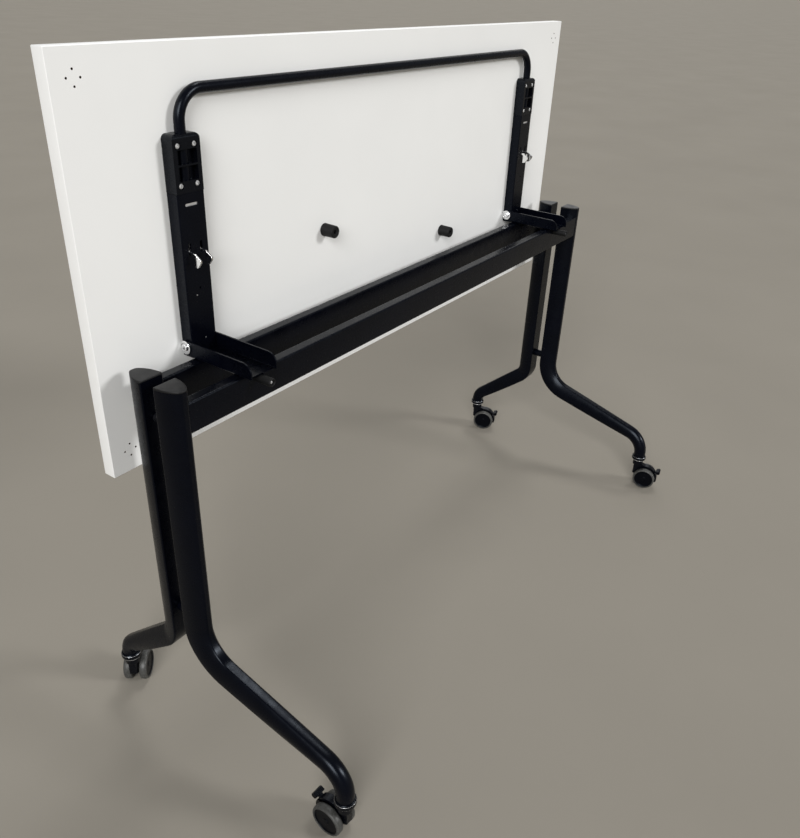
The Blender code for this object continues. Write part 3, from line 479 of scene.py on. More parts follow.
@dataclass(frozen=True)
class Finish:
    """A surface finish: its colour, its gloss and its grain."""

    name: str
    slot: str
    colour: tuple[float, float, float]
    roughness: float
    metallic: float = 0.0
    specular: float = 0.5
    sheen: tuple[float, float, float] = (1.0, 1.0, 1.0)
    mottle: float = 0.12
    mottle_scale: float = 14.0
    gloss_spread: float = 0.06
    gloss_scale: float = 55.0
    grain_scale: float = 900.0
    grain_height: float = 0.00004

    def material(self) -> bpy.types.Material:
        """Make the finish's material on its first use.

        Returns:
            The material.
        """
        found = bpy.data.materials.get(self.name)
        if found:
            return found
        material = bpy.data.materials.new(self.name)
        material.use_nodes = True
        tree = material.node_tree
        shader = tree.nodes["Principled BSDF"]
        shader.inputs["Metallic"].default_value = self.metallic
        shader.inputs["Specular IOR Level"].default_value = self.specular
        shader.inputs["Specular Tint"].default_value = (*self.sheen, 1.0)
        pattern = Pattern(tree, tree.nodes.new("ShaderNodeTexCoord").outputs["Object"])
        tree.links.new(self.tint(pattern), shader.inputs["Base Color"])
        tree.links.new(self.gloss(pattern), shader.inputs["Roughness"])
        bump = tree.nodes.new("ShaderNodeBump")
        bump.inputs["Strength"].default_value = 1.0
        bump.inputs["Distance"].default_value = self.grain_height
        tree.links.new(self.grain(pattern), bump.inputs["Height"])
        tree.links.new(bump.outputs["Normal"], shader.inputs["Normal"])
        self.dress(shader)
        return material

    def tint(self, pattern: Pattern) -> bpy.types.NodeSocket:
        """Vary the colour slowly over the surface.

        Args:
            pattern: The material's nodes.

        Returns:
            The colour.
        """
        mix = pattern.tree.nodes.new("ShaderNodeMix")
        mix.data_type = "RGBA"
        mix.inputs[6].default_value = (*[part * (1 - self.mottle) for part in self.colour], 1.0)
        mix.inputs[7].default_value = (*[min(part * (1 + self.mottle), 1.0) for part in self.colour], 1.0)
        value = pattern.noise(self.mottle_scale, 5.0)
        pattern.tree.links.new(pattern.span(value, 0.0, 1.0), mix.inputs[0])
        return mix.outputs[2]

    def gloss(self, pattern: Pattern) -> bpy.types.NodeSocket:
        """Return a roughness that varies in patches."""
        value = pattern.noise(self.gloss_scale, 4.0)
        return pattern.span(value, self.roughness - self.gloss_spread, self.roughness + self.gloss_spread)

    def grain(self, pattern: Pattern) -> bpy.types.NodeSocket:
        """Return the height of the fine surface grain."""
        return pattern.noise(self.grain_scale, 2.0)

    def dress(self, shader: bpy.types.Node) -> None:
        """Set what only some finishes have."""


class MouldedPlastic(Finish):
    """Plastic with the pebbled grain of a spark-eroded mould."""

    def grain(self, pattern: Pattern) -> bpy.types.NodeSocket:
        """Pebble the surface.

        Args:
            pattern: The material's nodes.

        Returns:
            The height of the grain.
        """
        pebbles = pattern.tree.nodes.new("ShaderNodeTexVoronoi")
        pebbles.feature = "SMOOTH_F1"
        pebbles.inputs["Scale"].default_value = self.grain_scale
        pattern.tree.links.new(pattern.spot, pebbles.inputs["Vector"])
        return pebbles.outputs["Distance"]


class PlatedMetal(Finish):
    """Metal with faint drawn lines under its plating."""

    def grain(self, pattern: Pattern) -> bpy.types.NodeSocket:
        """Draw fine lines along the piece.

        Args:
            pattern: The material's nodes.

        Returns:
            The height of the grain.
        """
        drawn = pattern.tree.nodes.new("ShaderNodeMapping")
        drawn.inputs["Scale"].default_value = (1.0, 1.0, 0.06)
        pattern.tree.links.new(pattern.spot, drawn.inputs["Vector"])
        return pattern.noise(self.grain_scale, 3.0, drawn.outputs["Vector"])


class WheelTread(Finish):
    """Cast tread that lets a little light in."""

    def dress(self, shader: bpy.types.Node) -> None:
        """Let light scatter under the surface.

        Args:
            shader: The material's surface.
        """
        shader.inputs["Subsurface Weight"].default_value = 0.25
        shader.inputs["Subsurface Radius"].default_value = (1.0, 1.0, 0.9)
        shader.inputs["Subsurface Scale"].default_value = 0.002


COOL_SHEEN = (0.78, 0.87, 1.0)

COAT = Finish("satin_black_coat", "black_coating", (0.0007, 0.0010, 0.0028), 0.28, specular=0.15,
              sheen=COOL_SHEEN, mottle=0.2, gloss_spread=0.05, grain_scale=1100.0, grain_height=0.00003)
BOARD = Finish("white_melamine", "white_board", (0.80, 0.80, 0.785), 0.40, mottle=0.012, mottle_scale=5.0,
               gloss_spread=0.05, gloss_scale=20.0, grain_scale=1800.0, grain_height=0.00001)
EDGE = Finish("white_edge_band", "white_board", (0.83, 0.83, 0.815), 0.34, mottle=0.01, mottle_scale=40.0,
              gloss_spread=0.04, gloss_scale=60.0, grain_scale=1500.0, grain_height=0.00001)
# Chipboard brown made far darker than raw chipboard: painted shade inside the pilot holes
HOLE_CORE_PAINTED_SHADE = MouldedPlastic("raw_chipboard", "white_board", (0.060, 0.040, 0.022), 0.85, specular=0.1,
                           mottle=0.5, mottle_scale=600.0, grain_scale=900.0, grain_height=0.0003)
PLASTIC = MouldedPlastic("moulded_black_plastic", "black_plastic", (0.0045, 0.0046, 0.0052), 0.44,
                         specular=0.3, grain_scale=1300.0, grain_height=0.00006)
GLOSS_PLASTIC = Finish("polished_black_plastic", "black_plastic", (0.0013, 0.0015, 0.0028), 0.27,
                       specular=0.20, sheen=COOL_SHEEN, gloss_spread=0.07, gloss_scale=120.0,
                       grain_height=0.00001)
HUB = Finish("dark_caster_plastic", "black_plastic", (0.0009, 0.0011, 0.0022), 0.32, specular=0.12,
             sheen=COOL_SHEEN, gloss_spread=0.06, gloss_scale=90.0, grain_height=0.00001)
RUBBER = Finish("dull_black_rubber", "black_rubber", (0.0032, 0.0032, 0.0036), 0.58, specular=0.25,
                mottle=0.25, mottle_scale=90.0, grain_scale=700.0, grain_height=0.00008)
TREAD = WheelTread("grey_cast_tread", "grey_tyre", (0.052, 0.052, 0.049), 0.42, specular=0.3, mottle=0.35,
                   mottle_scale=420.0, gloss_spread=0.1, gloss_scale=200.0, grain_scale=1200.0,
                   grain_height=0.00002)
ZINC = PlatedMetal("bright_zinc_plate", "zinc_steel", (0.74, 0.74, 0.74), 0.36, metallic=0.75, mottle=0.06,
                   mottle_scale=150.0, gloss_spread=0.08, gloss_scale=300.0, grain_scale=2600.0,
                   grain_height=0.00001)
POLISHED = PlatedMetal("polished_zinc_plate", "zinc_steel", (0.88, 0.88, 0.88), 0.12, metallic=1.0,
                       mottle=0.04, mottle_scale=120.0, gloss_spread=0.05, gloss_scale=260.0,
                       grain_scale=2600.0, grain_height=0.000004)
DARK_ZINC = PlatedMetal("black_zinc_plate", "zinc_steel", (0.010, 0.010, 0.012), 0.30, metallic=0.2,
                        specular=0.3, mottle_scale=120.0, gloss_scale=260.0, grain_scale=2600.0,
                        grain_height=0.00001)
CHROME = PlatedMetal("bright_chrome_plate", "bright_chrome", (0.90, 0.90, 0.91), 0.14, metallic=1.0,
                     mottle=0.03, mottle_scale=200.0, gloss_spread=0.05, gloss_scale=250.0,
                     grain_scale=3000.0, grain_height=0.000004)


def add_piece(name: str, shape: Shape, finish: Finish, body: str, *nodes: str) -> bpy.types.Object:
    """Add a finished piece to the model.

    Args:
        name: Name of the piece.
        shape: Its mesh, in place.
        finish: Its finish.
        body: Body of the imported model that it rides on.
        nodes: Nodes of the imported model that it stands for.

    Returns:
        The piece.
    """
    shape.mesh.name = name
    shape.mesh.materials.clear()
    shape.mesh.materials.append(finish.material())
    piece = link_object(name, shape.mesh)
    if nodes:
        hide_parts(*nodes)
    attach(piece, body)
    log.info("%s rides on %s", name, body)
    return piece


class NodeTool:
    """A geometry node tree with named inputs, run on a carrier and turned into a plain mesh."""

    def __init__(self, name: str, inputs: dict[str, str]) -> None:
        """Make an empty tree.

        Args:
            name: Name of the tree.
            inputs: Socket type of each named input.
        """
        self.tree = bpy.data.node_groups.new(name, "GeometryNodeTree")
        face = self.tree.interface
        face.new_socket("Geometry", in_out="INPUT", socket_type="NodeSocketGeometry")
        face.new_socket("Geometry", in_out="OUTPUT", socket_type="NodeSocketGeometry")
        self.keys = {
            label: face.new_socket(label, in_out="INPUT", socket_type=kind).identifier
            for label, kind in inputs.items()
        }
        self.start = self.tree.nodes.new("NodeGroupInput")

    def node(self, kind: str, **wires: object) -> bpy.types.Node:
        """Add a node.

        Args:
            kind: Type of the node.
            wires: What goes into its inputs, by the input's name with _ for spaces: a socket to link
                or a value to set.

        Returns:
            The node.
        """
        made = self.tree.nodes.new(kind)
        for label, value in wires.items():
            socket = made.inputs[label.replace("_", " ")]
            if isinstance(value, bpy.types.NodeSocket):
                self.tree.links.new(value, socket)
            else:
                socket.default_value = value
        return made

    def given(self, label: str) -> bpy.types.NodeSocket:
        """Return the socket of a named input."""
        return self.start.outputs[label]

    def close(self, geometry: bpy.types.NodeSocket) -> None:
        """End the tree with real geometry in its finish.

        Args:
            geometry: What the tree has made.
        """
        real = self.node("GeometryNodeRealizeInstances", Geometry=geometry)
        dressed = self.node("GeometryNodeSetMaterial", Geometry=real.outputs["Geometry"],
                            Material=self.given("Finish"))
        end = self.tree.nodes.new("NodeGroupOutput")
        self.tree.links.new(dressed.outputs["Geometry"], end.inputs["Geometry"])

    def run(self, base: bpy.types.Mesh, **values: object) -> Shape:
        """Run the tree on a mesh.

        Args:
            base: Mesh that the tree starts from.
            values: Values of the named inputs, with _ for spaces.

        Returns:
            The plain mesh that comes out.
        """
        carrier = link_object("carrier", base)
        modifier = carrier.modifiers.new("nodes", "NODES")
        modifier.node_group = self.tree
        for label, value in values.items():
            modifier[self.keys[label.replace("_", " ")]] = value
        graph = bpy.context.evaluated_depsgraph_get()
        mesh = bpy.data.meshes.new_from_object(carrier.evaluated_get(graph))
        carrier.modifiers.clear()
        bpy.data.objects.remove(carrier)
        return Shape(mesh)


def point_cloud(points: Sequence[Sequence[float]]) -> bpy.types.Mesh:
    """Make a mesh that holds only points.

    Args:
        points: Places of the points.

    Returns:
        The mesh.
    """
    mesh = bpy.data.meshes.new("points")
    mesh.from_pydata([tuple(point) for point in points], [], [])
    return mesh


class HoleTool(NodeTool):
    """Drills one size of hole along Y at each point of another object."""

    def __init__(self) -> None:
        """Build the tree."""
        super().__init__("drilled_holes", {
            "Places": "NodeSocketObject", "Diameter": "NodeSocketFloat", "Depth": "NodeSocketFloat",
            "Finish": "NodeSocketMaterial",
        })
        radius = self.node("ShaderNodeMath")
        radius.operation = "MULTIPLY"
        radius.inputs[1].default_value = 0.5
        self.tree.links.new(self.given("Diameter"), radius.inputs[0])
        drill = self.node("GeometryNodeMeshCylinder", Vertices=20, Radius=radius.outputs[0],
                          Depth=self.given("Depth"))
        places = self.node("GeometryNodeObjectInfo", Object=self.given("Places"))
        drills = self.node("GeometryNodeInstanceOnPoints", Points=places.outputs["Geometry"],
                           Instance=drill.outputs["Mesh"], Rotation=(math.pi / 2, 0.0, 0.0))
        real = self.node("GeometryNodeRealizeInstances", Geometry=drills.outputs["Instances"])
        carve = self.node("GeometryNodeMeshBoolean")
        carve.operation = "DIFFERENCE"
        carve.solver = "EXACT"
        self.tree.links.new(self.given("Geometry"), carve.inputs["Mesh 1"])
        self.tree.links.new(real.outputs["Geometry"], carve.inputs["Mesh 2"])
        self.close(carve.outputs["Mesh"])

    def drill(self, shape: Shape, points: Sequence[Sequence[float]], diameter: float, depth: float,
              finish: Finish) -> Shape:
        """Drill a shape.

        Args:
            shape: Shape to drill.
            points: Middles of the holes.
            diameter: Diameter of the holes.
            depth: Length of the holes about their middles.
            finish: Finish of the shape.

        Returns:
            The drilled shape.
        """
        places = link_object("places", point_cloud(points))
        made = self.run(shape.mesh, Places=places, Diameter=diameter, Depth=depth, Finish=finish.material())
        bpy.data.objects.remove(places)
        return made


class ScrewTool(NodeTool):
    """Sets pan-head screws with crossed recesses at points, facing -Y, each turned its own way."""

    def __init__(self) -> None:
        """Build the tree."""
        super().__init__("screw_set", {
            "Head": "NodeSocketObject", "Diameter": "NodeSocketFloat", "Seed": "NodeSocketInt",
            "Finish": "NodeSocketMaterial",
        })
        head = self.node("GeometryNodeObjectInfo", Object=self.given("Head"))
        size = self.node("ShaderNodeCombineXYZ", X=self.given("Diameter"), Y=self.given("Diameter"),
                         Z=self.given("Diameter"))
        heads = self.node("GeometryNodeInstanceOnPoints", Points=self.given("Geometry"),
                          Instance=head.outputs["Geometry"], Rotation=(math.pi / 2, 0.0, 0.0),
                          Scale=size.outputs["Vector"])
        turn = self.node("FunctionNodeRandomValue", Seed=self.given("Seed"))
        turn.inputs[2].default_value = 0.0
        turn.inputs[3].default_value = math.tau
        spin = self.node("ShaderNodeCombineXYZ", Z=turn.outputs[1])
        turned = self.node("GeometryNodeRotateInstances", Instances=heads.outputs["Instances"],
                           Rotation=spin.outputs["Vector"])
        self.close(turned.outputs["Instances"])

    def head(self) -> Shape:
        """Make one screw head, one unit across, that stands up along +Z.

        Returns:
            The head with its crossed recess and a short shank.
        """
        dome = profile((0.0, 0.36, 0.0), (0.30, 0.34, 0.0), (0.46, 0.22, 0.08), (0.5, 0.06, 0.0),
                       (0.5, 0.0, 0.0), (0.2, 0.0, 0.0), (0.2, -0.3, 0.0), (0.0, -0.3, 0.0))
        reach, half, floor, mouth = 0.31, 0.10, 0.04, 0.5
        bars = [Shape.block((-a, -b, floor), (a, b, mouth)) for a, b in ((reach, half), (half, reach))]
        return Shape.turned(dome, 28, Run.Z).cut(*bars).smoothed(28)

    def set(self, name: str, points: Sequence[Sequence[float]], diameter: float, body: str,
            seed: int) -> None:
        """Add one group of screws.

        Args:
            name: Name of the group.
            points: Seats of the heads.
            diameter: Diameter of the heads.
            body: Body that the group rides on.
            seed: Seed of the turns.
        """
        head = link_object("head", self.head().mesh)
        made = self.run(point_cloud(points), Head=head, Diameter=diameter, Seed=seed, Finish=ZINC.material())
        bpy.data.objects.remove(head)
        add_piece(name, made, ZINC, body)


class CoilTool(NodeTool):
    """Winds a coil spring of round wire that stands along Z."""

    def __init__(self) -> None:
        """Build the tree."""
        super().__init__("wound_coil", {
            "Coil radius": "NodeSocketFloat", "Wire radius": "NodeSocketFloat", "Height": "NodeSocketFloat",
            "Curls": "NodeSocketFloat", "Finish": "NodeSocketMaterial",
        })
        coil = self.node("GeometryNodeCurveSpiral", Resolution=36, Rotations=self.given("Curls"),
                         Start_Radius=self.given("Coil radius"), End_Radius=self.given("Coil radius"),
                         Height=self.given("Height"))
        wire = self.node("GeometryNodeCurvePrimitiveCircle", Resolution=12, Radius=self.given("Wire radius"))
        swept = self.node("GeometryNodeCurveToMesh", Curve=coil.outputs["Curve"],
                          Profile_Curve=wire.outputs["Curve"], Fill_Caps=True)
        smooth = self.node("GeometryNodeSetShadeSmooth", Geometry=swept.outputs["Mesh"])
        self.close(smooth.outputs["Geometry"])


class RibTool(NodeTool):
    """Lays a row of small ribs along X."""

    def __init__(self) -> None:
        """Build the tree."""
        super().__init__("rib_row", {
            "Count": "NodeSocketInt", "Step": "NodeSocketVector", "Size": "NodeSocketVector",
            "Finish": "NodeSocketMaterial",
        })
        row = self.node("GeometryNodeMeshLine", Count=self.given("Count"), Offset=self.given("Step"))
        rib = self.node("GeometryNodeMeshCube", Size=self.given("Size"))
        ribs = self.node("GeometryNodeInstanceOnPoints", Points=row.outputs["Mesh"],
                         Instance=rib.outputs["Mesh"])
        self.close(ribs.outputs["Instances"])


@dataclass(frozen=True)
class TableTop:
    """White faced board with a thin edge band and pilot holes in its underside."""

    band: float = 0.001
    arris: float = 0.0009
    corner: float = 0.0015
    least_corner: float = 0.0002
    seam: float = 0.00008
    hole_diameter: float = 0.0032
    hole_depth: float = 0.012
    hole_reach: float = 0.010
    hole_side_inset: float = 0.035
    hole_edge_inset: float = 0.036

    def board(self, low: Vector, high: Vector) -> Shape:
        """Make the board inside its band.

        Args:
            low: Lowest corner of the whole top.
            high: Highest corner of the whole top.

        Returns:
            The board with its holes.
        """
        inset = Vector((self.band + self.seam, 0.0, self.band + self.seam))
        board = Shape.block(low + inset, high - inset)
        holes = []
        for x, along in ((low.x, 1), (high.x, -1)):
            for z, rise in ((low.z, 1), (high.z, -1)):
                for a, b in ((1, 0), (0, 1), (-1, 0), (0, -1)):
                    spot_x = x + along * self.hole_side_inset + a * self.hole_reach
                    spot_z = z + rise * self.hole_edge_inset + b * self.hole_reach
                    holes.append((spot_x, low.y, spot_z))
        drilled = HoleTool().drill(board, holes, self.hole_diameter, 2 * self.hole_depth, BOARD)
        return drilled.smoothed(30)

    def edge_band(self, low: Vector, high: Vector) -> Shape:
        """Make the band round the board's edges.

        Args:
            low: Lowest corner of the whole top.
            high: Highest corner of the whole top.

        Returns:
            The closed band.
        """
        section = rounded((
            (self.band, low.y, 0), (0.0, low.y, self.arris),
            (0.0, high.y, self.arris), (self.band, high.y, 0),
        ), 5)
        rings = []
        for inset, level in section:
            loop = rounded_box((low.x + inset, low.z + inset), (high.x - inset, high.z - inset),
                               max(self.corner - inset, self.least_corner), 4)
            rings.append([Run.Y.place(a, b, level) for a, b in loop])
        return Shape.loft(rings, closed=True).smoothed(40)

    def build(self) -> None:
        """Add the board, with the raw chipboard core in its holes darkened as painted shade, and its edge
        band.
        """
        low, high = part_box("table_top")
        board = add_piece("top_board", self.board(low, high), BOARD, Body.TOP.value, "table_top")
        board.data.materials.append(HOLE_CORE_PAINTED_SHADE.material())
        skin = Vector((self.corner, self.seam, self.corner))
        core = list(zip(low + skin, high - skin))
        # Faces inside the skin are the pilot holes' walls and floors; they take the darkened chipboard as
        # painted shade
        for face in board.data.polygons:
            inside = [least < part < most for part, (least, most) in zip(face.center, core)]
            face.material_index = int(all(inside))
        add_piece("top_edge_band", self.edge_band(low, high), EDGE, Body.TOP.value)


@dataclass(frozen=True)
class ArmLine:
    """Sizes along a flip arm, measured from its pivot, that several pieces share."""

    spacing: float = 1.0390
    width: float = 0.050
    depth: float = 0.0225
    sheet: float = 0.002
    length: float = 0.235
    tail: float = 0.0165
    underside: float = 0.0115
    bar_radius: float = 0.008
    running_gap: float = 0.0005
    carrier_low: float = 0.1426
    carrier_high: float = 0.1526
    hook_half: float = 0.0125
    prong: float = 0.003
    shank_low: float = 0.1452
    shank_high: float = 0.1502
    bridge_low: float = 0.1995
    release_travel: float = 0.012

    @property
    def web(self) -> float:
        """Return the Y of the web's outer face."""
        return self.underside - self.depth

    @property
    def lip(self) -> float:
        """Return the Y of the faces that lie on the board."""
        return self.underside - FIT

    @property
    def bar_y(self) -> float:
        """Return the Y of the release bar's axis."""
        return self.web + self.sheet + self.running_gap + self.bar_radius

    def place(self, side: Side) -> Matrix:
        """Return the move from the pivot's own frame to the arm's place."""
        return Matrix.Translation(joint_place("top_flip") + Vector((side.value * self.spacing / 2, 0.0, 0.0)))


@dataclass(frozen=True)
class FlipArm:
    """Lipped channel that carries the top."""

    line: ArmLine = ArmLine()
    lip: float = 0.009
    lip_corner: float = 0.0006
    bend: float = 0.0018
    least_bend: float = 0.0005
    arris: float = 0.0003
    slot_length: float = 0.024
    slot_width: float = 0.0042
    slot_to_end: float = 0.0165
    plate_lap: float = 0.003
    plate_corner: float = 0.001
    plate_thickness: float = 0.0004
    prong_gap: float = 0.0008
    bolt_hole: float = 0.0086
    rod_hole: float = 0.0072
    access_hole: float = 0.0036
    screw_head: float = 0.0032
    access_places: tuple = ((0.0018, 0.092), (-0.005, 0.0815), (0.0045, 0.0095), (0.0133, -0.0056))

    def channel(self) -> Shape:
        """Fold the channel from sheet and pierce it.

        Returns:
            The channel in the pivot's own frame.
        """
        line = self.line
        half, sheet = line.width / 2, line.sheet
        lip, inside = half - self.lip, half - sheet
        inner_bend = max(self.bend - sheet, self.least_bend)
        outline = rounded((
            (-half, line.lip, self.lip_corner), (-half, line.web, self.bend), (half, line.web, self.bend),
            (half, line.lip, self.lip_corner), (lip, line.lip, 0), (lip, line.lip - sheet, 0),
            (inside, line.lip - sheet, 0), (inside, line.web + sheet, inner_bend),
            (-inside, line.web + sheet, inner_bend), (-inside, line.lip - sheet, 0),
            (-lip, line.lip - sheet, 0), (-lip, line.lip, 0),
        ), 5)
        channel = Shape.prism(outline, -line.tail, line.length, Run.Z)
        bridge = Shape.block((-inside - sheet / 2, line.web + sheet / 2, line.bridge_low),
                             (inside + sheet / 2, line.lip - sheet - line.running_gap,
                              line.bridge_low + sheet))
        slot_z = line.length - self.slot_to_end
        reach, rise = self.slot_length / 2, self.slot_width / 2
        slot = rounded_box((-reach, slot_z - rise), (reach, slot_z + rise), rise * ROUND_END)
        front, back = line.web - sheet, line.web + 1.5 * sheet
        tools = [
            Shape.prism(slot, front, back, Run.Y),
            Shape.prism(circle(self.bolt_hole / 2, 28), -line.width, line.width, Run.X),
            Shape.prism(circle(self.rod_hole / 2, 24, (0.0, line.bar_y)), line.bridge_low - OVERCUT,
                        line.bridge_low + OVERCUT, Run.Z),
        ]
        tools += [Shape.prism(circle(self.access_hole / 2, 20, spot), front, back, Run.Y)
                  for spot in self.access_places]
        gap = self.prong_gap
        low, high = line.shank_low - gap, line.shank_high + line.release_travel + gap
        for way in (-1, 1):
            edges = (way * (line.hook_half - line.prong) - way * gap, way * (line.hook_half + gap))
            slit = rounded_box((min(edges), low), (max(edges), high), gap, 3)
            tools.append(Shape.prism(slit, front, back, Run.Y))
        return channel.fused(bridge).cut(*tools).softened(self.arris, 2)

    def screw_points(self, side: Side) -> list[Vector]:
        """Return where the small screws sit in the web, in the model's frame."""
        place = self.line.place(side)
        return [place @ Vector((x, self.line.web + self.line.sheet, z)) for x, z in self.access_places[1:3]]

    def slot_plate(self) -> Shape:
        """Make the thin plate that closes the slot from inside.

        Returns:
            The plate in the pivot's own frame.
        """
        face = self.line.web + self.line.sheet
        half = self.slot_length / 2 + self.plate_lap
        middle, rise = self.line.length - self.slot_to_end, self.slot_width
        outline = rounded_box((-half, middle - rise), (half, middle + rise), self.plate_corner, 4)
        return Shape.prism(outline, face, face + self.plate_thickness, Run.Y).smoothed(30)

    def build(self, side: Side) -> None:
        """Add the arm of one end and the plate behind its slot.

        Args:
            side: End of the table.
        """
        name = f"{side.label}_flip_arm"
        place = self.line.place(side)
        add_piece(f"{name}_channel", self.channel().moved(place), COAT, Body.TOP.value, name)
        add_piece(f"{name}_slot_plate", self.slot_plate().moved(place), ZINC, Body.TOP.value)


@dataclass(frozen=True)
class GripBlock:
    """Moulded guide round a leg of the release bar, with its recess and screw seats."""

    line: ArmLine = ArmLine()
    height: float = 0.080
    shoulder: float = 0.008
    arris: float = 0.0006
    brow: float = 0.006
    recess_width: float = 0.036
    recess_depth: float = 0.009
    recess_height: float = 0.0202
    recess_corner: float = 0.001
    rib: float = 0.0026
    recess_middle: float = 0.038
    screw_spread: float = 0.0300
    screw_inset: float = 0.0105
    upper_screw_inset: float = 0.0150
    seat_diameter: float = 0.0097
    seat_depth: float = 0.0030
    head_diameter: float = 0.0081

    @property
    def low(self) -> float:
        """Return the block's lower end, from the pivot."""
        return self.line.length + FIT

    @property
    def high(self) -> float:
        """Return the block's upper end, from the pivot."""
        return self.low + self.height

    def seats(self) -> list[tuple[float, float]]:
        """Return the (x, z) places of the four screws."""
        levels = (self.low + self.screw_inset, self.high - self.upper_screw_inset)
        return [(way * self.screw_spread / 2, level) for way in (-1, 1) for level in levels]

    def moulding(self) -> Shape:
        """Mould the block.

        Returns:
            The block in the pivot's own frame.
        """
        line, reach = self.line, self.brow
        half = line.width / 2
        face = rounded(((-half, self.low, self.arris), (half, self.low, self.arris),
                        (half, self.high, self.shoulder), (-half, self.high, self.shoulder)), 8)
        brow = rounded((
            (line.web - reach, self.high + reach, 0), (line.web - reach, self.low - reach, 0),
            (line.web, self.low - reach, 0), (line.web, self.high, reach),
            (line.lip + reach, self.high, 0), (line.lip + reach, self.high + reach, 0),
        ), 8)
        tools = [
            Shape.prism(brow, -line.width, line.width, Run.X),
            Shape.prism(circle(line.bar_radius + line.running_gap, 40, (0.0, line.bar_y)),
                        self.low - reach, self.high + reach, Run.Z),
        ]
        middle = self.low + self.recess_middle
        wide = self.recess_width / 2
        for way in (-1, 1):
            near = middle + way * self.rib / 2
            bottom, top = sorted((near, near + way * self.recess_height))
            pocket = rounded_box((-wide, bottom), (wide, top), self.recess_corner, 3)
            tools.append(Shape.prism(pocket, line.web - reach, line.web + self.recess_depth, Run.Y))
        tools += [Shape.prism(circle(self.seat_diameter / 2, 28, spot), line.web - reach,
                              line.web + self.seat_depth, Run.Y) for spot in self.seats()]
        return Shape.prism(face, line.web, line.lip, Run.Y).cut(*tools).softened(self.arris, 3)

    def screw_points(self, side: Side) -> list[Vector]:
        """Return where the screw heads sit, in the model's frame."""
        place = self.line.place(side)
        return [place @ Vector((x, self.line.web + self.seat_depth, z)) for x, z in self.seats()]

    def build(self, side: Side) -> None:
        """Add the block of one end."""
        name = f"{side.label}_grip_block"
        add_piece(f"{name}_moulding", self.moulding().moved(self.line.place(side)), GLOSS_PLASTIC,
                  Body.TOP.value, name)


